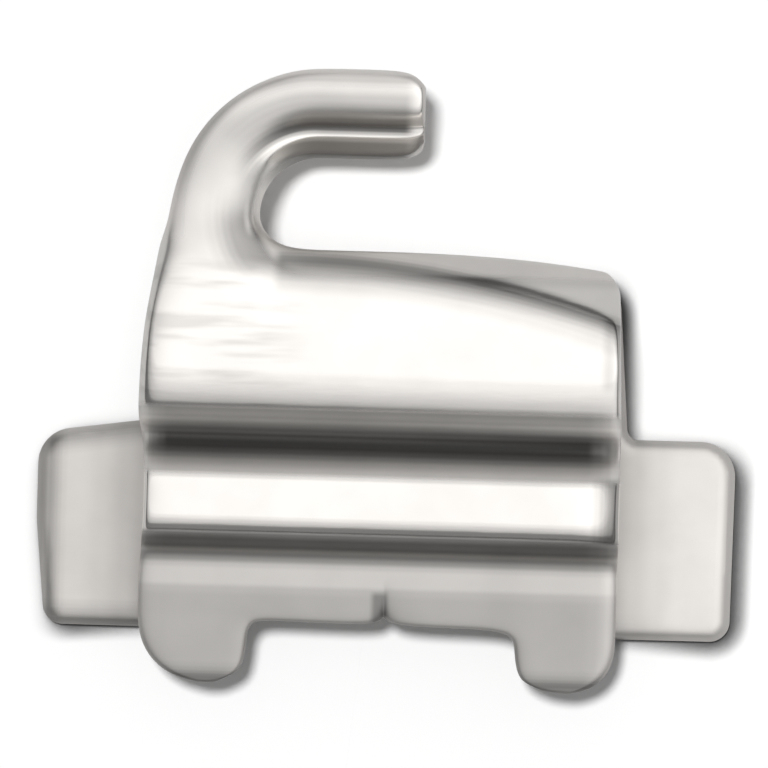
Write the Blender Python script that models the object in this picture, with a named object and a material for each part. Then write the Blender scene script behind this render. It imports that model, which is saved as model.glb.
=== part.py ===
"""Orthodontic buccal tube: one cast tube body with its hook and tie wings, brazed to a thin weld flange.

The frame has +X along the archwire passage towards its flared mouth, +Y towards the hook and +Z
away from the tooth. The origin lies on the back of the flange, straight behind the passage's axis.
"""

import math

import bmesh
import bpy
from mathutils import Vector

MM = 0.001

# Tube body
BODY_LENGTH = 4.20 * MM
BODY_TOP = 2.20 * MM
END_RIM = 0.09 * MM
SHOULDER_DROP = 0.14 * MM
SHOULDER_LENGTH = 1.80 * MM
MOUTH_CORNER = 0.13 * MM
MOUTH_LEAN = 0.05 * MM

# Archwire passage, for a wire of 0.022 by 0.028 inch
PASSAGE_HEIGHT = 0.56 * MM
PASSAGE_DEPTH = 0.71 * MM
PASSAGE_FLOOR = 0.30 * MM
PASSAGE_FLARE = 0.03 * MM
FLARE_LENGTH = 0.17 * MM

# Ridge over the passage
RIDGE_SIDE_WALL = 0.12 * MM
RIDGE_CREST_WALL = 0.305 * MM
RIDGE_ROLL_AT_HOOK = 0.04 * MM
RIDGE_ROLL_AT_MOUTH = 0.15 * MM
RIDGE_ROLL_LENGTH = 0.35 * MM
RIDGE_INSET = 0.03 * MM

# Groove between the ridge and the barrel
GROOVE_WIDTH_AT_HOOK = 0.255 * MM
GROOVE_WIDTH_AT_MOUTH = 0.20 * MM
GROOVE_FLOOR = 0.70 * MM
GROOVE_END_RISE = 0.22 * MM
GROOVE_END_LENGTH = 0.20 * MM

# Barrel, tapered from the hook's end to the mouth's end
BARREL_RADIUS_AT_HOOK = 0.945 * MM
BARREL_RADIUS_AT_MOUTH = 0.57 * MM
BARREL_TAPER_POWER = 2.8
BARREL_CREST_AT_HOOK = 1.565 * MM
BARREL_CREST_AT_MOUTH = 1.325 * MM
BARREL_FRONT_AT_HOOK = 0.322 * MM
BARREL_FRONT_AT_MOUTH = 0.142 * MM
BARREL_ROLL_AT_HOOK = 0.11 * MM
BARREL_ROLL_AT_MOUTH = 0.03 * MM
BARREL_ROLL_LENGTH = 0.25 * MM
BARREL_OVERHANG = 0.04 * MM
UNDER_RADIUS = 1.32 * MM
UNDER_CORNER = 0.165 * MM
FLANK_TILT = math.radians(54.0)

# Lip and its scribe mark
LIP_DROP = 1.075 * MM
LIP_SLANT = 0.03 * MM
LIP_FACE = 0.68 * MM
LIP_SLOPE = 0.06 * MM
LIP_ROLL = 0.05 * MM
LIP_THICKNESS = 0.40 * MM
LIP_FILLET = 0.13 * MM
SCRIBE_PLACE = 0.06 * MM
SCRIBE_HALF_WIDTH = 0.07 * MM
SCRIBE_DEPTH = 0.09 * MM
SCRIBE_NOTCH = 0.075 * MM

# Tie wings below the lip
WING_WIDTH_AT_HOOK = 0.98 * MM
WING_WIDTH_AT_MOUTH = 0.90 * MM
WING_DROP_AT_HOOK = 0.57 * MM
WING_DROP_AT_MOUTH = 0.53 * MM
WING_OUTER_CORNER_AT_HOOK = 0.53 * MM
WING_OUTER_CORNER_AT_MOUTH = 0.38 * MM
WING_INNER_CORNER = 0.15 * MM
WING_INNER_RISE_AT_HOOK = 0.06 * MM
WING_INNER_RISE_AT_MOUTH = 0.04 * MM
WING_INNER_LEAN = 0.05 * MM

# Hook
NECK_WIDTH = 1.12 * MM
NECK_LEAN = 0.11 * MM
NECK_FALL = 0.14 * MM
NECK_OUTER_FALL = 0.12 * MM
NECK_INNER_FALL = 0.18 * MM
HOOK_WIDTH = 0.77 * MM
HOOK_DEPTH = 0.74 * MM
HOOK_STANDOFF = 0.28 * MM
HOOK_RISE = 0.30 * MM
HOOK_BEND_RADIUS = 0.89 * MM
HOOK_ARM_LENGTH = 0.93 * MM
HOOK_TIP_ROUNDING = 0.20 * MM
HOOK_TIP_OUTER_SHRINK = 0.34
HOOK_TIP_INNER_SHRINK = 0.24
HOOK_TIP_FACE_SHRINK = 0.12

# Weld flange
FLANGE_THICKNESS = 0.22 * MM
FLANGE_REACH_AT_HOOK = 3.02 * MM
FLANGE_REACH_AT_MOUTH = 3.13 * MM
FLANGE_DROP = 1.15 * MM
FLANGE_RISE = 0.61 * MM
FLANGE_HOOK_SLANT = 0.07 * MM
FLANGE_MOUTH_SLANT = 0.02 * MM
TAB_REACH_AT_HOOK = 2.02 * MM
TAB_REACH_AT_MOUTH = 2.17 * MM
TAB_TAPER = 0.11 * MM
TAB_RISE = 2.05 * MM
FLANGE_CORNER = 0.31 * MM
FLANGE_SIDE_CORNER = 0.93 * MM
FLANGE_LOW_CORNER = 0.18 * MM
FLANGE_INNER_CORNER = 0.10 * MM
FLANGE_RELIEF = 0.35 * MM
FLANGE_FRONT_ROLL = 0.15 * MM
FLANGE_BACK_ROUND = 0.04 * MM
LAND_LENGTH = 3.40 * MM
LAND_TOP = 0.90 * MM
EDGE_SETBACK = 0.12 * MM

# Braze film between the body and the flange
BRAZE_GAP = 0.015 * MM

# Stations of the control cage, as shares of the stretch that each list divides
WING_COLUMNS = (0.3, 0.7, 1.0)
FLARE_COLUMNS = (0.35, 0.75, 1.0)
MIDDLE_COLUMN = 0.5
LAYER_SHARES = (0.0, 0.36, 0.84, 1.0)
FLANK_SHARE = 0.4
FLANK_LIMIT = 0.92
OVER_SHARES = (0.77, 0.39, 0.0)
GROOVE_SHELF_OUT = 0.34
GROOVE_SHELF_UP = 0.15
FILLET_OUT = 0.25
FILLET_UP = 0.6
LIP_ROWS = (0.3, 0.75)
LIP_BACK_ROWS = (0.5, 0.4)
WING_ROWS = (0.35, 0.66, 0.90, 1.0)
NECK_STATIONS = (0.4, 0.8)
ARM_STATIONS = (0.5, 1.0)
TIP_STATIONS = (0.6, 1.0)
INNER_SPREAD = 0.55

# Tilts of the section's points from the front's direction, in degrees
UNDER_TILTS = (20, 37)
UNDER_CORNER_TILTS = (60, 82)
UNDER_CORNER_LIFTS = (0.25, 0.7)
RIDGE_TILTS = (80, 52, 26, 0, -26, -52, -80)
BEND_TURNS = (6, 24, 42, 60, 78, 90)

# Where one form passes into the next: start and end, as shares
NECK_INTO_BARREL = (-2.5, 4.0)
NECK_INTO_ARM = (0.25, 0.95)
STANDOFF_GROWTH = (0.0, 0.8)
CREST_DESCENT = (-0.1, 1.0)
OVERHANG_FADE = (0.4, 1.0)

# Section of the hook's arm by layer from the back to the front and from its outer to its inner side, as
# shares of its half width and half depth; the front has a crest, a hollow below it and a crease
ARM_SECTION = (
    ((0.78, -0.82), (0.45, -0.98), (0.12, -1.02), (-0.20, -1.02), (-0.55, -1.00), (-0.92, -0.95)),
    ((1.03, -0.40), None, None, None, None, (-1.02, -0.70)),
    ((1.05, 0.15), None, None, None, None, (-0.92, -0.38)),
    ((1.00, 0.74), (0.80, 0.97), (0.13, 0.94), (-0.27, 0.36), (-0.46, 0.42), (-0.74, -0.05)),
)

# Sharpness of the cage's creased edges
CORNER_CREASE = 1.0
RIM_CREASE = 0.9
SCRIBE_CREASE = 0.7
HOLLOW_CREASE = 0.5

# Columns and rows of the cage that later parts of it name
CAGE_LAYERS = 3
NECK_COLUMNS = 5
HOOK_WING_COLUMNS = 4
SCRIBE_COLUMN = 8
MOUTH_WING_COLUMN = 11
HOLLOW_COLUMN = 4
HOLLOW_FIRST_STATION = 5
LIP_POINTS = 5

# Facets
SUBDIVISION_LEVEL = 1
CORNER_STEPS = 5
CONTOUR_STEPS = 5
ROLL_STEPS = 3
SHARP_ANGLE = math.radians(35.0)
SAME_PLACE = 1e-9

# Sizes that follow from the ones above
BODY_BACK = FLANGE_THICKNESS + BRAZE_GAP
PASSAGE_BOTTOM = BODY_BACK + PASSAGE_FLOOR
PASSAGE_TOP = PASSAGE_BOTTOM + PASSAGE_DEPTH
RIDGE_RADIUS = PASSAGE_HEIGHT / 2 + RIDGE_SIDE_WALL
RIDGE_CENTRE = PASSAGE_TOP + RIDGE_CREST_WALL - RIDGE_RADIUS
GROOVE_TOP = RIDGE_RADIUS + GROOVE_WIDTH_AT_HOOK
SEAT_END = -RIDGE_RADIUS - LIP_FILLET
HALF_LENGTH = BODY_LENGTH / 2


def smooth_step(value, start, end):
    """Return 0 before start, 1 after end and a smooth rise between them."""
    share = min(1.0, max(0.0, (value - start) / (end - start)))
    return share * share * (3 - 2 * share)


def mix(first, second, share):
    """Return the value that lies share of the way from first to second."""
    return first + (second - first) * share


def mix_points(first, second, share):
    """Return the point that lies share of the way from first to second."""
    return tuple(mix(a, b, share) for a, b in zip(first, second))


def corner_inset(depth, full_depth, radius):
    """Return how far a side with a round corner of this radius lies inward at a depth."""
    run = max(0.0, depth - full_depth + radius)
    return radius - math.sqrt(max(0.0, radius * radius - run * run))


def end_roll(x, at_hook, at_mouth, length):
    """Return how far the front falls near the body's ends, which are rolled over."""
    hook_share = max(0.0, 1 - (x + HALF_LENGTH) / END_RIM)
    mouth_share = max(0.0, 1 - (HALF_LENGTH - x) / length)
    return at_hook * hook_share ** 2 + at_mouth * mouth_share ** 2


def contour_drop(x, y):
    """Return how far the flange curves back towards the tooth at a place."""
    beyond_land = max(0.0, abs(x) - LAND_LENGTH / 2)
    wing_run = FLANGE_REACH_AT_HOOK - LAND_LENGTH / 2
    above_land = max(0.0, y - LAND_TOP)
    tab_run = TAB_RISE - LAND_TOP
    return EDGE_SETBACK * ((beyond_land / wing_run) ** 2 + (above_land / tab_run) ** 2)


class Cage:
    """Control cage made of blocks in a lattice, of which only the outer skin becomes a mesh.

    A lattice address is (column, row, layer): columns run along X, rows run down the front of the
    section, and layers run from the back to the front.
    """

    def __init__(self, name):
        self.name = name
        self.blocks = set()

    def add_blocks(self, columns, rows, layers):
        """Fill the blocks that the three ranges span."""
        self.blocks |= {(c, r, l) for c in columns for r in rows for l in layers}

    def remove_blocks(self, columns, rows, layers):
        """Empty the blocks that the three ranges span."""
        self.blocks -= {(c, r, l) for c in columns for r in rows for l in layers}

    def skin(self, place, crease_of):
        """Return a mesh of the faces that belong to one block only."""
        faces = {}
        for block in sorted(self.blocks):
            for corners in block_faces(block):
                faces.setdefault(frozenset(corners), []).append(corners)
        mesh = bmesh.new()
        crease = mesh.edges.layers.float.new("crease_edge")
        points = {}
        for users in faces.values():
            if len(users) == 1:
                for address in users[0]:
                    if address not in points:
                        points[address] = mesh.verts.new(place(*address))
                mesh.faces.new([points[address] for address in users[0]])
        addresses = {point: address for address, point in points.items()}
        for edge in mesh.edges:
            edge[crease] = crease_of(*(addresses[point] for point in edge.verts))
        bmesh.ops.recalc_face_normals(mesh, faces=mesh.faces)
        data = bpy.data.meshes.new(self.name)
        mesh.to_mesh(data)
        mesh.free()
        return data


def block_faces(block):
    """Return the corner addresses of a block's six faces."""
    faces = []
    for axis in range(3):
        across, up = (a for a in range(3) if a != axis)
        for side in (0, 1):
            corners = []
            for step_across, step_up in ((0, 0), (1, 0), (1, 1), (0, 1)):
                address = list(block)
                address[axis] += side
                address[across] += step_across
                address[up] += step_up
                corners.append(tuple(address))
            faces.append(corners)
    return faces


class TubeBody:
    """The casting: barrel, groove, ridge, lip with two tie wings, and hook."""

    def __init__(self):
        self.columns = self.plan_columns()
        self.last_column = len(self.columns) - 1
        self.hook_stations = self.plan_hook()
        self.last_row = len(self.front_curve(0.0)) - 1
        first_ridge_row = self.last_row + 1 - LIP_POINTS - len(RIDGE_TILTS)
        self.passage_rows = range(first_ridge_row + 1, first_ridge_row + len(RIDGE_TILTS) - 2)

    def plan_columns(self):
        """Return the places of the lattice's columns along the body."""
        wing_inner = -HALF_LENGTH + WING_WIDTH_AT_HOOK
        mouth_wing = HALF_LENGTH - WING_WIDTH_AT_MOUTH
        neck_inner = -HALF_LENGTH + NECK_WIDTH + END_RIM
        flare_start = HALF_LENGTH - FLARE_LENGTH
        scribe_left = SCRIBE_PLACE - SCRIBE_HALF_WIDTH
        scribe_right = SCRIBE_PLACE + SCRIBE_HALF_WIDTH
        columns = [-HALF_LENGTH, -HALF_LENGTH + END_RIM]
        columns += [mix(columns[1], wing_inner, share) for share in WING_COLUMNS]
        columns += [neck_inner, mix(neck_inner, scribe_left, MIDDLE_COLUMN), scribe_left, SCRIBE_PLACE]
        columns += [scribe_right, mix(scribe_right, mouth_wing, MIDDLE_COLUMN), mouth_wing]
        columns += [mix(mouth_wing, flare_start, share) for share in FLARE_COLUMNS]
        return columns + [HALF_LENGTH - END_RIM, HALF_LENGTH]

    def taper(self, x):
        """Return how far the barrel has tapered at a place along the body."""
        return ((x + HALF_LENGTH) / BODY_LENGTH) ** BARREL_TAPER_POWER

    def groove_width(self, x):
        """Return the groove's width at a place along the body."""
        return mix(GROOVE_WIDTH_AT_HOOK, GROOVE_WIDTH_AT_MOUTH, self.taper(x))

    def groove_rise(self, x):
        """Return how far the groove's floor rises at the mouth's end."""
        return end_roll(x, 0.0, GROOVE_END_RISE, GROOVE_END_LENGTH)

    def under_edge(self, x):
        """Return the Y at which the barrel's underside turns into the groove's wall."""
        return RIDGE_RADIUS + self.groove_width(x) + UNDER_CORNER

    def under_start(self, x):
        """Return the Y at which the barrel's underside begins."""
        shallow, steep = (math.radians(tilt) for tilt in UNDER_TILTS)
        return self.under_edge(x) + UNDER_RADIUS * (math.sin(steep) - math.sin(shallow))

    def barrel(self, x):
        """Return the barrel's upper radius, and its centre in Y and Z, at a place along the body."""
        radius = mix(BARREL_RADIUS_AT_HOOK, BARREL_RADIUS_AT_MOUTH, self.taper(x))
        front = mix(BARREL_FRONT_AT_HOOK, BARREL_FRONT_AT_MOUTH, self.taper(x))
        share = (x + HALF_LENGTH) / BODY_LENGTH
        crest = BODY_BACK + mix(BARREL_CREST_AT_HOOK, BARREL_CREST_AT_MOUTH, share)
        roll = end_roll(x, BARREL_ROLL_AT_HOOK, BARREL_ROLL_AT_MOUTH, BARREL_ROLL_LENGTH)
        return radius - roll, self.under_start(x) + front, crest - radius

    def top(self, x):
        """Return the height of the body's top edge, which rounds down to the mouth's end."""
        run = max(0.0, x - HALF_LENGTH + SHOULDER_LENGTH) / SHOULDER_LENGTH
        return BODY_TOP - SHOULDER_DROP * run * run - corner_inset(x, HALF_LENGTH, MOUTH_CORNER)

    def barrel_front(self, x):
        """Return the barrel's front from the body's top edge down into the groove."""
        radius, centre_y, centre_z = self.barrel(x)
        top = self.top(x)
        reach = min(math.sin(FLANK_TILT), (top - centre_y) / radius)
        tilt = FLANK_LIMIT * math.asin(reach)
        start = (centre_y + radius * math.sin(tilt), centre_z + radius * math.cos(tilt))
        end = (top, start[1] - (top - start[0]) * math.tan(FLANK_TILT))
        points = [end, mix_points(end, start, FLANK_SHARE), start]
        for share in OVER_SHARES:
            y = centre_y + radius * math.sin(share * tilt)
            points.append((y, centre_z + radius * math.cos(share * tilt)))
        return points + self.barrel_underside(x, points[-1])

    def barrel_underside(self, x, crest):
        """Return the barrel's lower front: a flat curve down from its crest and a tight corner."""
        shallow, steep = (math.radians(tilt) for tilt in UNDER_TILTS)
        edge = self.under_edge(x)
        start = self.under_start(x)
        start_z = crest[1] - (crest[0] - start) * math.tan(shallow / 2)
        edge_z = start_z - UNDER_RADIUS * (math.cos(shallow) - math.cos(steep))
        corner = UNDER_CORNER / (1 - math.sin(steep))
        rise = self.groove_rise(x)
        points = [(start, start_z), (edge, edge_z)]
        for degrees, lifted in zip(UNDER_CORNER_TILTS, UNDER_CORNER_LIFTS):
            tilt = math.radians(degrees)
            y = edge - corner * (math.sin(tilt) - math.sin(steep))
            z = edge_z - corner * (math.cos(steep) - math.cos(tilt))
            points.append((y, z + lifted * rise))
        return points

    def neck_across(self, x):
        """Return the place across the neck: 1 at its outer side and -1 at its inner side."""
        first, last = self.columns[0], self.columns[NECK_COLUMNS]
        return max(-1.0, 1 - 2 * (x - first) / (last - first))

    def crown_fall(self, across):
        """Return how far the neck's front falls from its crown towards its sides."""
        return NECK_OUTER_FALL * max(0.0, across) ** 2 + NECK_INNER_FALL * max(0.0, -across) ** 2

    def neck_front(self, x):
        """Return the barrel's front where the hook's neck carries it on upwards."""
        points = self.barrel_front(x)
        radius, centre_y, centre_z = self.barrel(x)
        fall = NECK_FALL + self.crown_fall(self.neck_across(x))
        steps = len(OVER_SHARES) + 2
        for step in range(steps):
            share = 1 - step / steps
            points[step] = (mix(centre_y, self.top(x), share), centre_z + radius - fall * share * share)
        return points

    def front_curve(self, x):
        """Return the section's front at a place along the body, from its top edge to the lip's edge."""
        neck_end = -HALF_LENGTH + NECK_WIDTH
        start, end = (neck_end + rims * END_RIM for rims in NECK_INTO_BARREL)
        share = smooth_step(x, start, end)
        upper = [mix_points(a, b, share) for a, b in zip(self.neck_front(x), self.barrel_front(x))]
        return upper + self.groove_front(x) + self.ridge_front(x) + self.lip_front(x)

    def groove_front(self, x):
        """Return the section's front across the groove's floor."""
        width = self.groove_width(x)
        floor = BODY_BACK + GROOVE_FLOOR + self.groove_rise(x)
        middle = RIDGE_RADIUS + width / 2
        shelf = floor + GROOVE_SHELF_UP * width
        out = GROOVE_SHELF_OUT * width
        return [(middle + out, shelf), (middle, floor), (middle - out, shelf)]

    def ridge_front(self, x):
        """Return the section's front over the ridge, which rolls over at the body's ends."""
        roll = end_roll(x, RIDGE_ROLL_AT_HOOK, RIDGE_ROLL_AT_MOUTH, RIDGE_ROLL_LENGTH)
        points = []
        for degrees in RIDGE_TILTS:
            tilt = math.radians(degrees)
            height = RIDGE_CENTRE + (RIDGE_RADIUS - roll) * math.cos(tilt)
            points.append((RIDGE_RADIUS * math.sin(tilt), height))
        return points

    def lip_edge(self, x):
        """Return the Y of the lip's edge, which slants a little."""
        return -LIP_DROP - LIP_SLANT * x / HALF_LENGTH

    def lip_front(self, x):
        """Return the section's front from the ridge's foot to the lip's edge, with the scribe mark."""
        face = BODY_BACK + LIP_FACE - end_roll(x, LIP_ROLL, LIP_ROLL, END_RIM)
        edge = self.lip_edge(x)
        scribe = max(0.0, 1 - abs(x - SCRIBE_PLACE) / SCRIBE_HALF_WIDTH)
        fall = LIP_SLOPE + SCRIBE_DEPTH * scribe
        upper, lower = LIP_ROWS
        return [
            (-RIDGE_RADIUS - FILLET_OUT * LIP_FILLET, face + FILLET_UP * LIP_FILLET),
            (SEAT_END, face),
            (mix(SEAT_END, edge, upper), face),
            (mix(SEAT_END, edge, lower), face - fall / 2),
            (edge + SCRIBE_NOTCH * scribe, face - fall),
        ]

    def back_point(self, row, front):
        """Return the section's back point in a row: the seat on the flange, or the lip's underside."""
        row_in_lip = row - (self.last_row + 1 - LIP_POINTS)
        underside = BODY_BACK + LIP_FACE - LIP_THICKNESS
        seat_share, under_share = LIP_BACK_ROWS
        if row_in_lip < 0:
            return (front[0], BODY_BACK)
        if row_in_lip == 0:
            return (-RIDGE_RADIUS - seat_share * LIP_FILLET, BODY_BACK)
        if row_in_lip == 1:
            return (SEAT_END, BODY_BACK)
        if row_in_lip == 2:
            return (SEAT_END - under_share * LIP_FILLET, underside)
        return (front[0], underside)

    def plan_hook(self):
        """Return the hook's stations: centre in X and Y, outward angle, shares of bend and tip."""
        bend_x = -HALF_LENGTH + NECK_LEAN + HOOK_BEND_RADIUS + HOOK_WIDTH / 2 + END_RIM
        bend_y = BODY_TOP + HOOK_RISE
        stations = []
        for share in NECK_STATIONS:
            stations.append((bend_x - HOOK_BEND_RADIUS, mix(BODY_TOP, bend_y, share), 180.0, 0.0, 0.0))
        for turn in BEND_TURNS:
            x = bend_x - HOOK_BEND_RADIUS * math.cos(math.radians(turn))
            y = bend_y + HOOK_BEND_RADIUS * math.sin(math.radians(turn))
            stations.append((x, y, 180.0 - turn, turn / 90, 0.0))
        arm_y = bend_y + HOOK_BEND_RADIUS
        straight = HOOK_ARM_LENGTH - HOOK_TIP_ROUNDING
        for share in ARM_STATIONS:
            stations.append((bend_x + straight * share, arm_y, 90.0, 1.0, 0.0))
        for share in TIP_STATIONS:
            stations.append((bend_x + straight + HOOK_TIP_ROUNDING * share, arm_y, 90.0, 1.0, share))
        return stations

    def neck_section(self, column, layer, half_depth):
        """Return the neck's crowned section as shares of its half width and half depth."""
        across = self.neck_across(self.columns[column])
        up = 2 * layer / CAGE_LAYERS - 1
        if layer == CAGE_LAYERS:
            rim = BARREL_ROLL_AT_HOOK if column == 0 else 0.0
            up -= (self.crown_fall(across) + rim) / half_depth
        return across, up

    def hook_point(self, column, row, layer):
        """Return a point of the hook's section; row -1 is the first station above the body."""
        x, y, angle, bent, tip = self.hook_stations[-row - 1]
        rise = min(1.0, (y - BODY_TOP) / (HOOK_RISE + HOOK_BEND_RADIUS))
        spread = max(0.0, 1 - (y - BODY_TOP) / HOOK_RISE)
        inner_spread = INNER_SPREAD * (NECK_WIDTH - HOOK_WIDTH) * spread * spread
        back = BODY_BACK + HOOK_STANDOFF * smooth_step(rise, *STANDOFF_GROWTH)
        radius, _, centre_z = self.barrel(-HALF_LENGTH + NECK_WIDTH / 2)
        neck_crest = centre_z + radius - NECK_FALL
        arm_crest = BODY_BACK + HOOK_STANDOFF + HOOK_DEPTH
        crest = mix(neck_crest, arm_crest, smooth_step(rise, *CREST_DESCENT))
        half_depth = (crest - back) / 2
        inside = 0 < column < NECK_COLUMNS and 0 < layer < CAGE_LAYERS
        section = self.neck_section(column, layer, half_depth)
        if not inside:
            section = mix_points(section, ARM_SECTION[layer][column], smooth_step(bent, *NECK_INTO_ARM))
        shrink = HOOK_TIP_OUTER_SHRINK if section[0] > 0 else HOOK_TIP_INNER_SHRINK
        along = section[0] * HOOK_WIDTH / 2 * (1 - shrink * tip * tip)
        along += section[0] * (inner_spread if section[0] < 0 else END_RIM * spread)
        outward = math.radians(angle)
        z = crest - half_depth + section[1] * half_depth * (1 - HOOK_TIP_FACE_SHRINK * tip * tip)
        return (x + math.cos(outward) * along, y + math.sin(outward) * along, z)

    def wing_point(self, column, row, layer):
        """Return a point of a tie wing, which hangs below the lip and has round corners."""
        x = self.columns[column]
        down = WING_ROWS[row - self.last_row - 1]
        if column <= HOOK_WING_COLUMNS:
            side, inner, outer = -1, self.columns[HOOK_WING_COLUMNS], self.columns[0]
            full, corner = WING_DROP_AT_HOOK, WING_OUTER_CORNER_AT_HOOK
            inner_rise = WING_INNER_RISE_AT_HOOK
        else:
            side, inner, outer = 1, self.columns[MOUTH_WING_COLUMN], self.columns[-1]
            full, corner = WING_DROP_AT_MOUTH, WING_OUTER_CORNER_AT_MOUTH
            inner_rise = WING_INNER_RISE_AT_MOUTH
        share = (x - inner) / (outer - inner)
        inner += side * (corner_inset(down * full, full, WING_INNER_CORNER) + WING_INNER_LEAN * down)
        outer -= side * corner_inset(down * full, full, corner)
        drop = down * (full - inner_rise * max(0.0, 1 - 2 * share) ** 2)
        front = BODY_BACK + LIP_FACE - end_roll(x, LIP_ROLL, LIP_ROLL, END_RIM) - LIP_SLOPE * (1 + down / 2)
        back = BODY_BACK + LIP_FACE - LIP_THICKNESS
        return (mix(inner, outer, share), self.lip_edge(x) - drop, mix(back, front, layer / CAGE_LAYERS))

    def place(self, column, row, layer):
        """Return the place of a lattice address in space."""
        if row < 0:
            return self.hook_point(column, row, layer)
        if row > self.last_row:
            return self.wing_point(column, row, layer)
        x = self.columns[column]
        front = self.front_curve(x)[row]
        back = self.back_point(row, front)
        y, z = mix_points(back, front, LAYER_SHARES[layer])
        rows = self.passage_rows
        if layer in (1, 2) and rows.start <= row <= rows.stop:
            flare = PASSAGE_FLARE * smooth_step(x, HALF_LENGTH - FLARE_LENGTH, HALF_LENGTH)
            across = 1 - 2 * (row - rows.start) / len(rows)
            y = across * (PASSAGE_HEIGHT / 2 + flare)
            z = PASSAGE_BOTTOM - flare if layer == 1 else PASSAGE_TOP
        x += self.lean(x, y)
        if layer == 0 and z <= BODY_BACK:
            z -= contour_drop(x, y)
        return (x, y, z)

    def lean(self, x, y):
        """Return how far a point of the body moves along X, where its ends lean, overhang or draw in."""
        height = max(0.0, (y - GROOVE_TOP) / (BODY_TOP - GROOVE_TOP))
        inner = self.columns[NECK_COLUMNS]
        hook_share = max(0.0, (inner - x) / (inner + HALF_LENGTH))
        rim_share = max(0.0, 1 - (x + HALF_LENGTH) / (2 * END_RIM))
        shift = NECK_LEAN * height ** 2 * hook_share
        shift -= MOUTH_LEAN * height * max(0.0, x / HALF_LENGTH)
        overhang = BARREL_OVERHANG * smooth_step(y, RIDGE_RADIUS, GROOVE_TOP + UNDER_CORNER)
        shift -= overhang * (1 - smooth_step(height, *OVERHANG_FADE)) * rim_share
        shift += RIDGE_INSET * max(0.0, 1 - (y / GROOVE_TOP) ** 2) * rim_share
        return shift

    def crease(self, first, second):
        """Return how sharp the edge between two addresses stays: the passage and the seat are sharp."""
        ends = (first, second)
        rows = self.passage_rows
        on_corner = all(a[1] in (rows.start, rows.stop) and a[2] in (1, 2) for a in ends)
        if on_corner and first[1] == second[1] and first[2] == second[2]:
            return CORNER_CREASE
        seat_end_row = self.last_row + 2 - LIP_POINTS
        for end in (0, self.last_column):
            if all(a[0] == end and rows.start <= a[1] <= rows.stop and a[2] in (1, 2) for a in ends):
                return RIM_CREASE
            if all(a[0] == end and a[2] == 0 and 0 <= a[1] <= seat_end_row for a in ends):
                return RIM_CREASE
        for row in (0, seat_end_row):
            if all(a[1] == row and a[2] == 0 for a in ends):
                return RIM_CREASE
        if all(a[0] == HOLLOW_COLUMN and a[2] == CAGE_LAYERS for a in ends):
            if all(a[1] <= -HOLLOW_FIRST_STATION for a in ends):
                return HOLLOW_CREASE
        if all(a[1] > self.last_row + 2 - LIP_POINTS and a[0] == SCRIBE_COLUMN for a in ends):
            return SCRIBE_CREASE
        return 0.0

    def build(self):
        """Build the casting as one object."""
        cage = Cage("tube_body")
        columns = range(self.last_column)
        layers = range(CAGE_LAYERS)
        cage.add_blocks(columns, range(self.last_row), layers)
        cage.remove_blocks(columns, self.passage_rows, range(1, 2))
        cage.add_blocks(range(NECK_COLUMNS), range(-len(self.hook_stations), 0), layers)
        wing_rows = range(self.last_row, self.last_row + len(WING_ROWS))
        cage.add_blocks(range(HOOK_WING_COLUMNS), wing_rows, layers)
        cage.add_blocks(range(MOUTH_WING_COLUMN, self.last_column), wing_rows, layers)
        body = bpy.data.objects.new("tube_body", cage.skin(self.place, self.crease))
        bpy.context.collection.objects.link(body)
        smooth = body.modifiers.new("Smooth casting", "SUBSURF")
        smooth.levels = SUBDIVISION_LEVEL
        smooth.render_levels = SUBDIVISION_LEVEL
        body.data.shade_smooth()
        return body


def rounded_outline(corners):
    """Return the points of an outline whose corners, given as (x, y, radius), are arcs."""
    points = []
    for index, (x, y, radius) in enumerate(corners):
        corner = Vector((x, y))
        back = (Vector(corners[index - 1][:2]) - corner).normalized()
        ahead = (Vector(corners[(index + 1) % len(corners)][:2]) - corner).normalized()
        half = back.angle(ahead) / 2
        centre = corner + (back + ahead).normalized() * radius / math.sin(half)
        first = corner + back * radius / math.tan(half) - centre
        last = corner + ahead * radius / math.tan(half) - centre
        start = math.atan2(first.y, first.x)
        sweep = (math.atan2(last.y, last.x) - start + math.pi) % (2 * math.pi) - math.pi
        for step in range(CORNER_STEPS + 1):
            angle = start + sweep * step / CORNER_STEPS
            points.append(centre + Vector((math.cos(angle), math.sin(angle))) * radius)
    return points


def flange_corners():
    """Return the flange's outline from its lower hook-side corner, counter-clockwise."""
    left, right = -FLANGE_REACH_AT_HOOK, FLANGE_REACH_AT_MOUTH
    relief_end = HALF_LENGTH - WING_WIDTH_AT_MOUTH / 2
    low = FLANGE_LOW_CORNER
    inner = FLANGE_INNER_CORNER
    return [
        (left + FLANGE_HOOK_SLANT, -FLANGE_DROP, low),
        (-relief_end, -FLANGE_DROP, low),
        (-relief_end, -FLANGE_DROP + FLANGE_RELIEF, inner),
        (relief_end, -FLANGE_DROP + FLANGE_RELIEF, inner),
        (relief_end, -FLANGE_DROP, low),
        (right - FLANGE_MOUTH_SLANT, -FLANGE_DROP, low),
        (right, FLANGE_RISE, FLANGE_CORNER),
        (TAB_REACH_AT_MOUTH, FLANGE_RISE, inner),
        (TAB_REACH_AT_MOUTH - TAB_TAPER, TAB_RISE, FLANGE_CORNER),
        (-TAB_REACH_AT_HOOK + TAB_TAPER, TAB_RISE, FLANGE_CORNER),
        (-TAB_REACH_AT_HOOK, FLANGE_RISE + FLANGE_HOOK_SLANT, inner),
        (left, FLANGE_RISE - FLANGE_HOOK_SLANT, FLANGE_CORNER),
        (left, 0.0, FLANGE_SIDE_CORNER),
    ]


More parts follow.
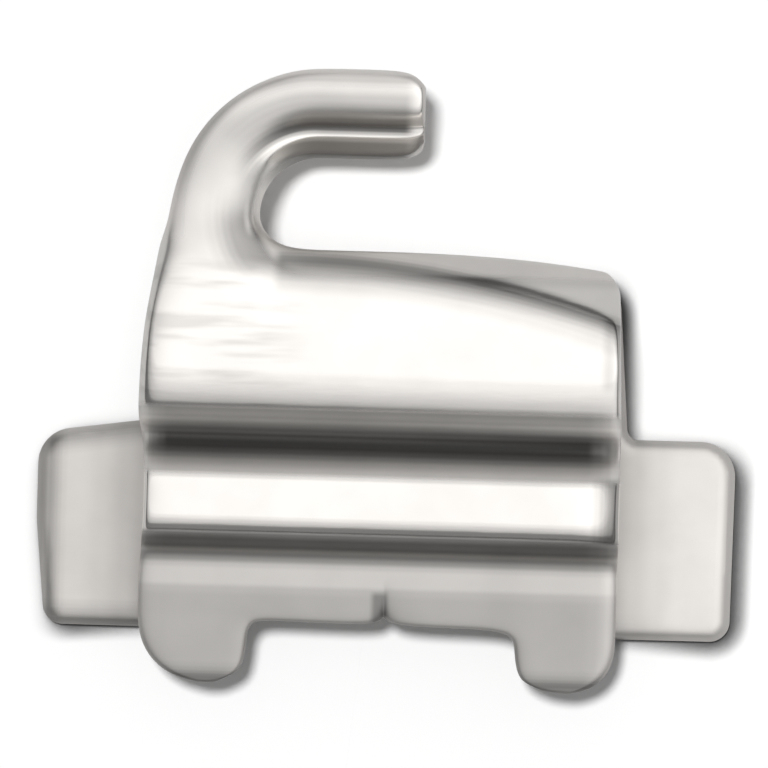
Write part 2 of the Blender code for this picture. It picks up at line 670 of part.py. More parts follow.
def build_flange():
    """Build the thin flange: a flat land behind the body, with its wings and tab curved back."""
    mesh = bmesh.new()
    outline = [mesh.verts.new((*point, 0.0)) for point in rounded_outline(flange_corners())]
    plate = mesh.faces.new(outline)
    for point in bmesh.ops.extrude_face_region(mesh, geom=[plate])["geom"]:
        if isinstance(point, bmesh.types.BMVert):
            point.co.z += FLANGE_THICKNESS
    bmesh.ops.recalc_face_normals(mesh, faces=mesh.faces)
    for height, width, steps in (
        (FLANGE_THICKNESS, FLANGE_FRONT_ROLL, ROLL_STEPS),
        (0.0, FLANGE_BACK_ROUND, 1),
    ):
        rims = [e for e in mesh.edges if all(abs(p.co.z - height) < SAME_PLACE for p in e.verts)]
        bmesh.ops.bevel(mesh, geom=rims, offset=width, segments=steps, profile=0.5, affect="EDGES")
    cuts = []
    for step in range(CONTOUR_STEPS):
        share = step / CONTOUR_STEPS
        wing = mix(LAND_LENGTH / 2, FLANGE_REACH_AT_HOOK, share)
        cuts += [((wing, 0, 0), (1, 0, 0)), ((-wing, 0, 0), (1, 0, 0))]
        cuts.append(((0, mix(LAND_TOP, TAB_RISE, share), 0), (0, 1, 0)))
    for point, direction in cuts:
        everything = mesh.verts[:] + mesh.edges[:] + mesh.faces[:]
        bmesh.ops.bisect_plane(mesh, geom=everything, dist=SAME_PLACE, plane_co=point, plane_no=direction)
    for point in mesh.verts:
        point.co.z -= contour_drop(point.co.x, point.co.y)
    data = bpy.data.meshes.new("weld_flange")
    mesh.to_mesh(data)
    mesh.free()
    data.shade_smooth()
    data.set_sharp_from_angle(angle=SHARP_ANGLE)
    flange = bpy.data.objects.new("weld_flange", data)
    bpy.context.collection.objects.link(flange)
    return flange


def metal(name, colour, roughness):
    """Return a bare steel material."""
    material = bpy.data.materials.new(name)
    material.use_nodes = True
    shader = material.node_tree.nodes["Principled BSDF"]
    shader.inputs["Base Color"].default_value = (*colour, 1.0)
    shader.inputs["Metallic"].default_value = 1.0
    shader.inputs["Roughness"].default_value = roughness
    return material


def main():
    """Clear the scene, then build the body and the flange."""
    for item in list(bpy.data.objects):
        bpy.data.objects.remove(item, do_unlink=True)
    body = TubeBody().build()
    body.data.materials.append(metal("polished_steel", (0.80, 0.79, 0.78), 0.12))
    flange = build_flange()
    flange.data.materials.append(metal("satin_steel", (0.76, 0.75, 0.74), 0.30))


main()
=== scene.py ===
"""Looks of an orthodontic buccal tube: one polished casting on a thin satin flange, in a plain studio.

Lengths are in metres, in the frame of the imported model: +X along the archwire passage towards its
flared mouth, +Y towards the hook and +Z away from the tooth.
"""

import logging
import math
from collections.abc import Callable, Iterable, Sequence
from dataclasses import dataclass
from enum import Enum

import bmesh
import bpy
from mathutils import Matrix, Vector


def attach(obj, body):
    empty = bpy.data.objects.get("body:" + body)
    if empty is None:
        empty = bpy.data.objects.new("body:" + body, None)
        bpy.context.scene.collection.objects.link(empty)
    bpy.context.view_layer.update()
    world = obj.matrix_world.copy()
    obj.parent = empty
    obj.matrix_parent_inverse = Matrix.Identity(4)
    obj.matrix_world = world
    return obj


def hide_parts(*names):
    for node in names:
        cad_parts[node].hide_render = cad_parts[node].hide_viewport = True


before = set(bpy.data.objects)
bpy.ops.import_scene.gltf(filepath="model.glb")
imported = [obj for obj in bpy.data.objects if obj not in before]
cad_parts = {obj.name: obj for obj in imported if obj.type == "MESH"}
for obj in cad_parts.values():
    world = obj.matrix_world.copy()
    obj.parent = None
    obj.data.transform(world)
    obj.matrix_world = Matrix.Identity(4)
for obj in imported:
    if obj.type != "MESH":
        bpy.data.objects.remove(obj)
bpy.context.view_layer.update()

log = logging.getLogger("buccal_tube")

MM = 0.001

Address = tuple[int, int, int]
Place = tuple[float, float, float]
Colour = tuple[float, float, float]
Stop = tuple[float, float]
Window = tuple[float, float]
Band = tuple[Window, Window]
Socket = bpy.types.NodeSocket


def smooth_step(value: float, start: float, end: float) -> float:
    """Return 0 before start, 1 after end and a smooth rise between them."""
    share = min(1.0, max(0.0, (value - start) / (end - start)))
    return share * share * (3 - 2 * share)


def mix(first: float, second: float, share: float) -> float:
    """Return the value that lies share of the way from first to second."""
    return first + (second - first) * share


def mix_points(first: Sequence[float], second: Sequence[float], share: float) -> tuple[float, ...]:
    """Return the point that lies share of the way from first to second."""
    return tuple(mix(a, b, share) for a, b in zip(first, second))


def corner_inset(depth: float, full_depth: float, radius: float) -> float:
    """Return how far a side with a round corner lies inward at a depth.

    Args:
        depth: Distance along the side.
        full_depth: The side's whole length, where the corner ends.
        radius: The corner's radius.

    Returns:
        The distance from the straight side's line.
    """
    run = max(0.0, depth - full_depth + radius)
    return radius - math.sqrt(max(0.0, radius * radius - run * run))


class Finish(Enum):
    """The record's material slots."""

    CASTING = "polished_casting"
    FLANGE = "flange_sheet"


class Signal:
    """A node socket with Python operators, each of which adds a Math node."""

    def __init__(self, tree: "NodeTree", socket: Socket) -> None:
        """Wrap a socket of a tree."""
        self.tree = tree
        self.socket = socket

    def __add__(self, other: "Signal | float") -> "Signal":
        """Return the sum."""
        return self.tree.math("ADD", self, other)

    def __radd__(self, other: float) -> "Signal":
        """Return the sum with a number first."""
        return self.tree.math("ADD", other, self)

    def __sub__(self, other: "Signal | float") -> "Signal":
        """Return the difference."""
        return self.tree.math("SUBTRACT", self, other)

    def __rsub__(self, other: float) -> "Signal":
        """Return the difference with a number first."""
        return self.tree.math("SUBTRACT", other, self)

    def __mul__(self, other: "Signal | float") -> "Signal":
        """Return the product."""
        return self.tree.math("MULTIPLY", self, other)

    def __rmul__(self, other: float) -> "Signal":
        """Return the product with a number first."""
        return self.tree.math("MULTIPLY", other, self)

    def __truediv__(self, other: "Signal | float") -> "Signal":
        """Return the quotient."""
        return self.tree.math("DIVIDE", self, other)

    def __pow__(self, other: "Signal | float") -> "Signal":
        """Return the power."""
        return self.tree.math("POWER", self, other)

    def __abs__(self) -> "Signal":
        """Return the absolute value."""
        return self.tree.math("ABSOLUTE", self)

    def at_least(self, other: "Signal | float") -> "Signal":
        """Return the larger of the two."""
        return self.tree.math("MAXIMUM", self, other)

    def at_most(self, other: "Signal | float") -> "Signal":
        """Return the smaller of the two."""
        return self.tree.math("MINIMUM", self, other)

    def rise(self, start: float, end: float) -> "Signal":
        """Return a smooth rise from 0 at start to 1 at end; start may be the larger.

        Args:
            start: Value at which it is 0.
            end: Value at which it is 1.

        Returns:
            The rise.
        """
        settings = {"interpolation_type": "SMOOTHSTEP"}
        sockets = {"Value": self, "From Min": start, "From Max": end}
        return Signal(self.tree, self.tree.node("ShaderNodeMapRange", settings, sockets).outputs["Result"])

    def band(self, rising: Window, falling: Window) -> "Signal":
        """Return 1 between two windows, through which the level rises and falls again."""
        return self.rise(*rising) * self.rise(*falling)


class NodeTree:
    """Writes the nodes of one shader or geometry tree."""

    def __init__(self, tree: bpy.types.NodeTree) -> None:
        """Start with an empty tree."""
        self.tree = tree
        tree.nodes.clear()

    def node(self, kind: str, settings: dict | None = None, sockets: dict | None = None) -> bpy.types.Node:
        """Add a node.

        Args:
            kind: The node's type.
            settings: Its properties, and under "stops" a ramp's positions and colours; set first.
            sockets: Values, Signals or output sockets for its inputs, by name or index.

        Returns:
            The new node.
        """
        made = self.tree.nodes.new(kind)
        for name, value in (settings or {}).items():
            if name == "stops":
                self.set_stops(made.color_ramp, value)
            else:
                setattr(made, name, value)
        for name, value in (sockets or {}).items():
            target = self.input(made, name)
            if isinstance(value, Signal):
                self.tree.links.new(value.socket, target)
            elif isinstance(value, Socket):
                self.tree.links.new(value, target)
            else:
                target.default_value = value
        return made

    @staticmethod
    def input(node: bpy.types.Node, name: str | int) -> Socket:
        """Return a node's enabled input by name, or any input by index.

        Args:
            node: The node.
            name: The input's name or index.

        Returns:
            The input.
        """
        if isinstance(name, int):
            return node.inputs[name]
        return next(socket for socket in node.inputs if socket.name == name and socket.enabled)

    @staticmethod
    def set_stops(ramp: bpy.types.ColorRamp, stops: Sequence[Stop]) -> None:
        """Give a ramp its stops, as pairs of position and grey.

        Args:
            ramp: The ramp.
            stops: Its stops, in order.
        """
        ramp.interpolation = "EASE"
        while len(ramp.elements) < len(stops):
            ramp.elements.new(1.0)
        for element, (position, level) in zip(ramp.elements, stops):
            element.position = position
            element.color = grey(level)

    def ramp(self, value: Signal, stops: Sequence[Stop]) -> Signal:
        """Return a level that follows a value through stops, given as pairs of value and level.

        Args:
            value: What the level follows.
            stops: The stops, in order.

        Returns:
            The level.
        """
        start, end = stops[0][0], stops[-1][0]
        shares = [((at - start) / (end - start), level) for at, level in stops]
        share = (value - start) / (end - start)
        made = self.node("ShaderNodeValToRGB", {"stops": shares}, {"Fac": share})
        return Signal(self, made.outputs["Color"])

    def level(self, value: Signal, stops: Sequence[Stop], weight: "Signal | float") -> Signal:
        """Return a ramp's level where the weight is 1, and 1 where it is 0."""
        return 1.0 + (self.ramp(value, stops) - 1.0) * weight

    def scaled(self, colour: Socket, factor: Signal) -> Socket:
        """Return a colour times a factor."""
        sockets = {"Vector": colour, "Scale": factor}
        return self.node("ShaderNodeVectorMath", {"operation": "SCALE"}, sockets).outputs["Vector"]

    def math(self, operation: str, *values: "Signal | float") -> Signal:
        """Add a Math node on Signals or numbers."""
        made = self.node("ShaderNodeMath", {"operation": operation}, dict(enumerate(values)))
        return Signal(self, made.outputs[0])

    def split(self, vector: Socket) -> tuple[Signal, Signal, Signal]:
        """Return a vector's three parts."""
        parts = self.node("ShaderNodeSeparateXYZ", None, {"Vector": vector}).outputs
        return Signal(self, parts["X"]), Signal(self, parts["Y"]), Signal(self, parts["Z"])

    def blend(self, share: "Signal | float", first: object, second: object) -> Socket:
        """Return the colour that lies share of the way between two colours."""
        made = self.node("ShaderNodeMix", {"data_type": "RGBA"}, {"Factor": share, "A": first, "B": second})
        return next(socket for socket in made.outputs if socket.enabled)

    def noise(self, vector: Socket, scale: float, detail: float = 2.0) -> Signal:
        """Return fractal noise from 0 to 1."""
        sockets = {"Vector": vector, "Scale": scale, "Detail": detail}
        return Signal(self, self.node("ShaderNodeTexNoise", None, sockets).outputs[0])

    def stretched(self, vector: Socket, scale: Place) -> Socket:
        """Return coordinates scaled along each axis."""
        sockets = {"Vector": vector, "Scale": scale}
        return self.node("ShaderNodeMapping", {"vector_type": "POINT"}, sockets).outputs["Vector"]

    def object_millimetres(self) -> Socket:
        """Return Object coordinates in millimetres."""
        place = self.node("ShaderNodeTexCoord").outputs["Object"]
        return self.stretched(place, (1 / MM, 1 / MM, 1 / MM))


def grey(value: float) -> tuple[float, float, float, float]:
    """Return a neutral colour for a socket."""
    return (value, value, value, 1.0)


@dataclass(frozen=True)
class SteelFinish:
    """A bare steel surface with fine working marks.

    Attributes:
        name: The material's name.
        colour: Its reflection colour.
        roughness: Its mean roughness.
        mark_scale: Working marks per millimetre along X, Y and Z.
        mark_depth: Height of the marks' bump.
        mark_strength: Strength of the marks' bump.
        detail: Detail of the noise of marks and clouds.
        cloud_scale: Clouds per millimetre.
        cloud_window: Noise levels between which a cloud sets in.
        cloud_shade: Share of the colour that a cloud leaves.
        roughness_shares: Shares of the mean roughness: even, by cloud and by mark.
    """

    name: str
    colour: Colour
    roughness: float
    mark_scale: Place
    mark_depth: float
    mark_strength: float = 0.5
    detail: float = 3.0
    cloud_scale: float = 1.6
    cloud_window: Window = (0.35, 0.75)
    cloud_shade: float = 0.94
    roughness_shares: tuple[float, float, float] = (0.8, 0.3, 0.1)

    def material(self) -> bpy.types.Material:
        """Build the material.

        Returns:
            The material.
        """
        made = bpy.data.materials.new(self.name)
        made.use_nodes = True
        tree = NodeTree(made.node_tree)
        place = tree.object_millimetres()
        marks = tree.noise(tree.stretched(place, self.mark_scale), 1.0, self.detail)
        cloud = tree.noise(place, self.cloud_scale, self.detail)
        colour = self.surface_colour(tree, place, cloud)
        roughness = self.surface_roughness(tree, place, cloud, marks)
        bump = tree.node("ShaderNodeBump", None, {
            "Strength": self.mark_strength,
            "Distance": self.mark_depth,
            "Height": marks,
        })
        shader = tree.node("ShaderNodeBsdfPrincipled", None, {
            "Base Color": colour,
            "Metallic": self.metallic(tree, place),
            "Roughness": roughness,
            "Normal": bump.outputs["Normal"],
        })
        tree.node("ShaderNodeOutputMaterial", None, {"Surface": shader.outputs["BSDF"]})
        return made

    def surface_colour(self, tree: NodeTree, place: Socket, cloud: Signal) -> Socket:
        """Return the colour, which clouds slightly."""
        dull = tuple(self.cloud_shade * part for part in self.colour)
        return tree.blend(cloud.rise(*self.cloud_window), (*self.colour, 1.0), (*dull, 1.0))

    def surface_roughness(self, tree: NodeTree, place: Socket, cloud: Signal, marks: Signal) -> Signal:
        """Return the roughness, which follows the clouds and the marks."""
        even, clouded, marked = self.roughness_shares
        return self.roughness * (even + clouded * cloud + marked * marks)

    def metallic(self, tree: NodeTree, place: Socket) -> Signal | float:
        """Return how metallic the surface is."""
        return 1.0


@dataclass(frozen=True)
class CastingFinish(SteelFinish):
    """The casting: mirror polish on barrel and ridge, satin elsewhere, and painted shade and painted
    reflection bands in the base colour of recesses, edges and hook.

    A window is a pair of places between which something sets in, or fades where the first is larger.
    A place is in millimetres, by X, by Y or by radius from the hook's bend, and a turn is a sine.

    Attributes:
        dull_roughness: Roughness of the groove, the ridge's foot, the lip and the wings.
        hook_roughness: Roughness of the hook.
        skin: Painted shade and painted reflection bands by Y across the body, as factors on the colour, in
            millimetres.
        bend_centre: Centre of the hook's bend, X and Y in millimetres.
        hook_painted_shade: Painted shade and painted reflection bands by radius from the hook's bend, in
            millimetres.
        neck_painted_shade: The same at the neck's inner side.
        painted_shade_at_ends: How much of the body's painted shade shows by X, in millimetres.
        ridge_end_painted_shade: Painted shade on the ridge's mouth end by X, where it rolls over, in
            millimetres.
        barrel_end_painted_shade: The same on the barrel.
        edge_curve: Y of the barrel's upper edge for X = 0, and its first and second powers of X.
        edge_painted_shade: Painted shade and a painted reflection band by Y from that edge, in millimetres.
        streak_scale: Polishing streaks per millimetre on the barrel, along X, Y and Z.
        wing_edge_painted_shade: Painted shade by Y at the tie wings' lower edges, in millimetres.
        least_radius: Radius below which the turn round the bend is no longer worked out.
        hook_foot: Window by Y in which the hook's painted shade sets in.
        tip_window: Window by X in which the arm's painted shade fades towards its tip.
        tip_fade: How much of it fades.
        arm_turn: Window by turn in which the arm's painted shade sets in.
        inner_edge: Radii round the arm's inner edge.
        outer_edge: Window by radius of the arm's outer edge.
        edge_turn: Window by turn in which the painted shade sets in at these edges.
        neck_turn: Window by turn in which the neck's painted shade sets in.
        hollow_radius: Window by radius of the hook's hollow, which the neck's painted shade leaves free.
        hollow_turn: Window by turn of the hollow.
        bend_turn: Turns between which the bend's front has painted shade.
        bend_radius: Window by radius from which the painted shade sets in.
        bend_painted_shade: How much darker the painted shade makes it.
        lip_share: How much of the painted shade's weakening at the ends shows on the lip.
        lip_window: Window by Y above which all of it shows.
        streak_window: Noise levels between which a streak sets in.
        streak_along: Window by X in which streaks set in towards the hook.
        streak_across: Ys between which they show.
        streak_fade: How much darker a streak is.
        ridge_band: Ys between which the ridge's end painted shade shows.
        barrel_band: The same for the barrel's.
        scribe_middle: X of the scribe mark.
        scribe_window: Window by distance from that X.
        scribe_top: Window by Y at the scribe mark's top.
        scribe_painted_shade: How much darker the scribe mark is painted, as painted shade in its notch.
        edge_start: Window by X in which the painted shade of the barrel's edge sets in.
        above_window: Window by Y above that edge, where its painted shade is weaker.
        above_along: Window by X from which it is weaker.
        above_fade: How much weaker it is.
        hook_across: Window by Y in which the hook's roughness sets in.
        hook_along: Window by X for the same.
        outer_rim: Windows by radius and by Y of the hook's dull outer rim.
        inner_rim: The same for its inner rim.
        foot_window: Window by Y at the ridge's foot, below which the surface is dull.
        groove_band: Ys of the groove's two sides.
        groove_metal: How much less metallic the groove's cast skin is.
    """

    dull_roughness: float = 0.50
    hook_roughness: float = 0.24
    bend_centre: tuple[float, float] = (-0.635, 2.50)
    # Painted shade by Y across the body: near black in the groove, dark under the ridge and along the lip,
    # none on the polished crests.
    skin: tuple[Stop, ...] = (
        (-0.86, 0.50), (-0.79, 0.54), (-0.73, 0.67), (-0.62, 0.68), (-0.58, 0.60), (-0.53, 0.37),
        (-0.49, 0.34), (-0.455, 0.42), (-0.41, 0.165), (-0.36, 0.165), (-0.31, 0.30), (-0.26, 1.0),
        (0.17, 1.0), (0.20, 0.88),
        (0.25, 0.52), (0.335, 0.43), (0.38, 0.30), (0.42, 0.17), (0.465, 0.07), (0.51, 0.035), (0.56, 0.08),
        (0.60, 0.27), (0.65, 0.62), (0.69, 0.70), (0.725, 0.47), (0.785, 0.34), (0.815, 0.56), (0.86, 0.87),
        (0.96, 1.0),
    )
    # Painted shade and painted reflection bands on the hook's arm by radius: dark hollow and lower face, a
    # lighter crease line between.
    hook_painted_shade: tuple[Stop, ...] = (
        (0.46, 0.90), (0.50, 0.36), (0.53, 0.36), (0.56, 0.50), (0.64, 0.47), (0.675, 0.80), (0.70, 1.0),
        (0.735, 0.50), (0.76, 0.16), (0.80, 0.15), (0.84, 0.30), (0.88, 0.43), (0.97, 0.52), (1.03, 0.61),
        (1.12, 0.83), (1.16, 0.78), (1.19, 0.68), (1.22, 0.72), (1.26, 1.0),
    )
    # Painted shade on the neck's inner side by radius.
    neck_painted_shade: tuple[Stop, ...] = (
        (0.38, 0.95), (0.47, 0.95), (0.56, 0.45), (0.67, 0.42), (0.73, 0.43), (0.79, 0.54), (0.85, 0.69),
        (0.91, 0.82), (1.00, 0.92), (1.30, 1.0),
    )
    # How much of the painted shade shows by X: less at the body's two ends.
    painted_shade_at_ends: tuple[Stop, ...] = (
        (-2.10, 0.45), (-2.065, 0.58), (-2.03, 0.80), (-1.99, 0.88), (-1.93, 0.95), (-1.87, 1.0),
        (1.80, 1.0), (1.90, 0.90), (1.98, 0.77), (2.04, 0.52), (2.09, 0.45),
    )
    # Painted shade on the rolled mouth ends of ridge and barrel.
    ridge_end_painted_shade: tuple[Stop, ...] = (
        (1.83, 1.0), (1.90, 0.80), (1.95, 0.60), (1.98, 0.50), (2.01, 0.42), (2.04, 0.40), (2.07, 0.60),
        (2.10, 0.60), (2.13, 0.80),
    )
    barrel_end_painted_shade: tuple[Stop, ...] = ((1.88, 1.0), (1.97, 0.80), (2.05, 0.90), (2.10, 1.0))
    edge_curve: tuple[float, float, float] = (2.055, -0.100, -0.059)
    # Painted shade along the barrel's upper edge, where its flank turns away from the light.
    edge_painted_shade: tuple[Stop, ...] = (
        (-0.32, 1.0), (-0.20, 0.86), (-0.15, 0.79), (-0.10, 0.72), (-0.06, 0.60), (-0.03, 0.49), (0.0, 0.41),
        (0.03, 0.45), (0.06, 0.66), (0.09, 0.92), (0.12, 1.0),
    )
    streak_scale: Place = (0.8, 7.0, 7.0)
    # Painted shade along the tie wings' rolled lower edges.
    wing_edge_painted_shade: tuple[Stop, ...] = (
        (-1.63, 0.72), (-1.60, 0.50), (-1.575, 0.42), (-1.55, 0.48), (-1.53, 0.64), (-1.50, 0.82),
        (-1.46, 0.94), (-1.42, 1.0),
    )
    least_radius: float = 0.1
    hook_foot: Window = (1.88, 2.12)
    tip_window: Window = (0.12, 0.24)
    tip_fade: float = 0.6
    arm_turn: Window = (0.35, 0.98)
    inner_edge: Band = ((0.55, 0.59), (0.70, 0.66))
    outer_edge: Window = (1.10, 1.16)
    edge_turn: Window = (0.80, 0.985)
    neck_turn: Window = (0.40, -0.20)
    hollow_radius: Window = (0.64, 0.58)
    hollow_turn: Window = (-0.40, -0.10)
    bend_turn: Band = ((0.0, 0.45), (1.0, 0.65))
    bend_radius: Window = (0.56, 0.68)
    bend_painted_shade: float = 0.25
    lip_share: float = 0.45
    lip_window: Window = (0.0, 0.2)
    streak_window: Window = (0.42, 0.66)
    streak_along: Window = (-0.5, -1.2)
    streak_across: Band = ((0.86, 0.96), (2.2, 1.9))
    streak_fade: float = 0.20
    ridge_band: Band = ((-0.33, -0.26), (0.30, 0.20))
    barrel_band: Band = ((0.98, 1.10), (1.72, 1.62))
    scribe_middle: float = 0.02
    scribe_window: Window = (0.10, 0.03)
    scribe_top: Window = (-0.76, -0.83)
    scribe_painted_shade: float = 0.45
    edge_start: Window = (-1.02, -0.90)
    above_window: Window = (0.0, 0.02)
    above_along: Window = (0.8, 1.3)
    above_fade: float = 0.55
    hook_across: Window = (1.2, 1.75)
    hook_along: Window = (0.9, -0.6)
    outer_rim: Band = ((1.12, 1.20), (2.2, 2.5))
    inner_rim: Band = ((0.56, 0.48), (1.95, 2.05))
    foot_window: Window = (-0.27, -0.36)
    groove_band: Band = ((0.19, 0.27), (0.84, 0.76))
    groove_metal: float = 0.5

    def surface_colour(self, tree: NodeTree, place: Socket, cloud: Signal) -> Socket:
        """Return the polish's colour, with painted shade and painted reflection bands on body, hook, ends
        and wings.

        Args:
            tree: The material's nodes.
            place: Object coordinates in millimetres.
            cloud: Noise of the clouds.

        Returns:
            The colour.
        """
        along, across, _ = tree.split(place)
        factor = self.body_painted_shade(tree, along, across) * self.painted_hook_shade(tree, place)
        factor = factor * self.streak_level(tree, place) * tree.ramp(across, self.wing_edge_painted_shade)
        factor = factor * self.ends(tree, along, across) * self.barrel_edge_painted_shade(tree, along, across)
        return tree.scaled(super().surface_colour(tree, place, cloud), factor)

    def body_painted_shade(self, tree: NodeTree, along: Signal, across: Signal) -> Signal:
        """Return the painted shade by Y across the body, weaker at its ends.

        Args:
            tree: The material's nodes.
            along: X in millimetres.
            across: Y in millimetres.

        Returns:
            The factor for the colour.
        """
        end_share = self.lip_share + (1.0 - self.lip_share) * across.rise(*self.lip_window)
        shown = 1.0 - (1.0 - tree.ramp(along, self.painted_shade_at_ends)) * end_share
        return tree.level(across, self.skin, shown)

    def painted_hook_shade(self, tree: NodeTree, place: Socket) -> Signal:
        """Return the painted shade and painted reflection bands on the hook's arm, bend and neck.

        Args:
            tree: The material's nodes.
            place: Object coordinates in millimetres.

        Returns:
            The factor for the colour.
        """
        along, across, _ = tree.split(place)
        radius, turn = self.bend(tree, place)
        upper = across.rise(*self.hook_foot)
        tip = 1.0 - self.tip_fade * along.rise(*self.tip_window)
        edges = radius.band(*self.inner_edge) + radius.rise(*self.outer_edge)
        early = turn.rise(*self.arm_turn)
        reach = early + (turn.rise(*self.edge_turn) - early) * edges
        arm = tree.level(radius, self.hook_painted_shade, reach * upper * tip)
        solid = 1.0 - radius.rise(*self.hollow_radius) * turn.rise(*self.hollow_turn)
        neck = tree.level(radius, self.neck_painted_shade, turn.rise(*self.neck_turn) * upper * solid)
        # Painted shade on the front of the bend.
        front = turn.band(*self.bend_turn) * upper * radius.rise(*self.bend_radius)
        return arm * neck * (1.0 - self.bend_painted_shade * front)

    def streak_level(self, tree: NodeTree, place: Socket) -> Signal:
        """Return the level of the reflection in the polishing streaks on the barrel.

        Args:
            tree: The material's nodes.
            place: Object coordinates in millimetres.

        Returns:
            The factor for the colour.
        """
        along, across, _ = tree.split(place)
        streak = tree.noise(tree.stretched(place, self.streak_scale), 1.0).rise(*self.streak_window)
        shown = along.rise(*self.streak_along) * across.band(*self.streak_across)
        return 1.0 - self.streak_fade * streak * shown

    def ends(self, tree: NodeTree, along: Signal, across: Signal) -> Signal:
        """Return the painted shade at the ends of ridge and barrel and in the scribe mark.

        Args:
            tree: The material's nodes.
            along: X in millimetres.
            across: Y in millimetres.

        Returns:
            The factor for the colour.
        """
        ridge = tree.level(along, self.ridge_end_painted_shade, across.band(*self.ridge_band))
        barrel = tree.level(along, self.barrel_end_painted_shade, across.band(*self.barrel_band))
        # Painted shade in the scribe mark's notch.
        scribe = abs(along - self.scribe_middle).rise(*self.scribe_window) * across.rise(*self.scribe_top)
        return ridge * barrel * (1.0 - self.scribe_painted_shade * scribe)

    def barrel_edge_painted_shade(self, tree: NodeTree, along: Signal, across: Signal) -> Signal:
        """Return the painted shade along the barrel's upper edge, from hook to mouth.

        Args:
            tree: The material's nodes.
            along: X in millimetres.
            across: Y in millimetres.

        Returns:
            The factor for the colour.
        """
        height, slope, bow = self.edge_curve
        offset = across - (height + along * (slope + bow * along))
        above = 1.0 - self.above_fade * offset.rise(*self.above_window) * along.rise(*self.above_along)
        return tree.level(offset, self.edge_painted_shade, along.rise(*self.edge_start) * above)

    def surface_roughness(self, tree: NodeTree, place: Socket, cloud: Signal, marks: Signal) -> Signal:
        """Return the polish's roughness, and more on the hook and on the dull skins.

        Args:
            tree: The material's nodes.
            place: Object coordinates in millimetres.
            cloud: Noise of the clouds.
            marks: Noise of the working marks.

        Returns:
            The roughness.
        """
        along, across, _ = tree.split(place)
        polish = super().surface_roughness(tree, place, cloud, marks)
        hook_share = across.rise(*self.hook_across) * along.rise(*self.hook_along)
        hook = polish + (self.hook_roughness - polish) * hook_share
        radius, _ = self.bend(tree, place)
        dull = self.groove_share(across) + across.rise(*self.foot_window)
        for by_radius, by_height in (self.outer_rim, self.inner_rim):
            dull = dull + radius.rise(*by_radius) * across.rise(*by_height)
        return hook + (self.dull_roughness - hook) * dull

    def metallic(self, tree: NodeTree, place: Socket) -> Signal | float:
        """Return how metallic the surface is: less on the groove's cast skin."""
        _, across, _ = tree.split(place)
        return 1.0 - self.groove_metal * self.groove_share(across)

    def groove_share(self, across: Signal) -> Signal:
        """Return 1 in the groove between the ridge and the barrel."""
        return across.band(*self.groove_band)

    def bend(self, tree: NodeTree, place: Socket) -> tuple[Signal, Signal]:
        """Return the radius from the centre of the hook's bend and the sine of the turn around it.

        Args:
            tree: The material's nodes.
            place: Object coordinates in millimetres.

        Returns:
            The radius in millimetres, and the sine.
        """
        along, across, _ = tree.split(place)
        out = (along - self.bend_centre[0]).at_most(0.0)
        up = across - self.bend_centre[1]
        radius = (out * out + up * up) ** 0.5
        return radius, up / radius.at_least(self.least_radius)


@dataclass(frozen=True)
class FlangeFinish(SteelFinish):
    """The flange's satin sheet, with painted shade close to the body and along its rolled edges.

    Attributes:
        body_side_painted_shade: Painted shade by distance from the middle along X, in millimetres, darker
            next to the body.
        hook_end_painted_shade: The same by X at the hook-side wing's end.
        top_edge_painted_shade: The same by distance from the hook-side wing's upper edge.
        low_edge_painted_shade: The same by distance from the wings' lower edge.
        top_edge: Y of the upper edge in the middle of the hook-side wing, in millimetres.
        low_edge: Y of the lower edge.
        wing_middle: X of the middle of the hook-side wing.
        top_slope: Slope of the hook-side wing's upper edge.
        middle_window: Window by X in which the hook's side sets in.
        mouth_share: How much of the lower edge's painted shade shows on the mouth's side.
    """

    # Painted shade on the sheet: next to the body and along its rolled edges, where shade falls.
    body_side_painted_shade: tuple[Stop, ...] = ((2.05, 0.72), (2.25, 0.82), (2.45, 0.92), (2.65, 1.0))
    hook_end_painted_shade: tuple[Stop, ...] = (
        (-2.98, 0.75), (-2.955, 0.85), (-2.93, 0.82), (-2.90, 0.66), (-2.875, 0.68), (-2.85, 0.76),
        (-2.82, 0.86), (-2.79, 0.94), (-2.74, 1.0),
    )
    top_edge_painted_shade: tuple[Stop, ...] = (
        (0.0, 1.0), (0.045, 0.95), (0.06, 0.83), (0.08, 0.71), (0.10, 0.68), (0.13, 0.76), (0.15, 0.82),
        (0.17, 0.88), (0.20, 0.95), (0.24, 1.0),
    )
    low_edge_painted_shade: tuple[Stop, ...] = (
        (0.0, 0.54), (0.03, 0.52), (0.05, 0.56), (0.07, 0.68), (0.10, 0.72), (0.13, 0.77), (0.16, 0.86),
        (0.20, 0.93), (0.24, 1.0),
    )
    top_edge: float = 0.61
    low_edge: float = -1.15
    wing_middle: float = -2.52
    top_slope: float = 0.14
    middle_window: Window = (0.1, -0.1)
    mouth_share: float = 0.2

    def surface_colour(self, tree: NodeTree, place: Socket, cloud: Signal) -> Socket:
        """Return the sheet's colour, with painted shade towards the body and along its rolled edges.

        Args:
            tree: The material's nodes.
            place: Object coordinates in millimetres.
            cloud: Noise of the clouds.

        Returns:
            The colour.
        """
        along, across, _ = tree.split(place)
        hook_side = along.rise(*self.middle_window)
        top = self.top_edge + self.top_slope * (along - self.wing_middle) * hook_side
        low_share = self.mouth_share + (1.0 - self.mouth_share) * hook_side
        # Painted shade by the body and along the edges.
        factor = (
            tree.ramp(abs(along), self.body_side_painted_shade)
            * tree.ramp(along, self.hook_end_painted_shade)
            * tree.level(top - across, self.top_edge_painted_shade, hook_side)
            * tree.level(across - self.low_edge, self.low_edge_painted_shade, low_share)
        )
        return tree.scaled(super().surface_colour(tree, place, cloud), factor)


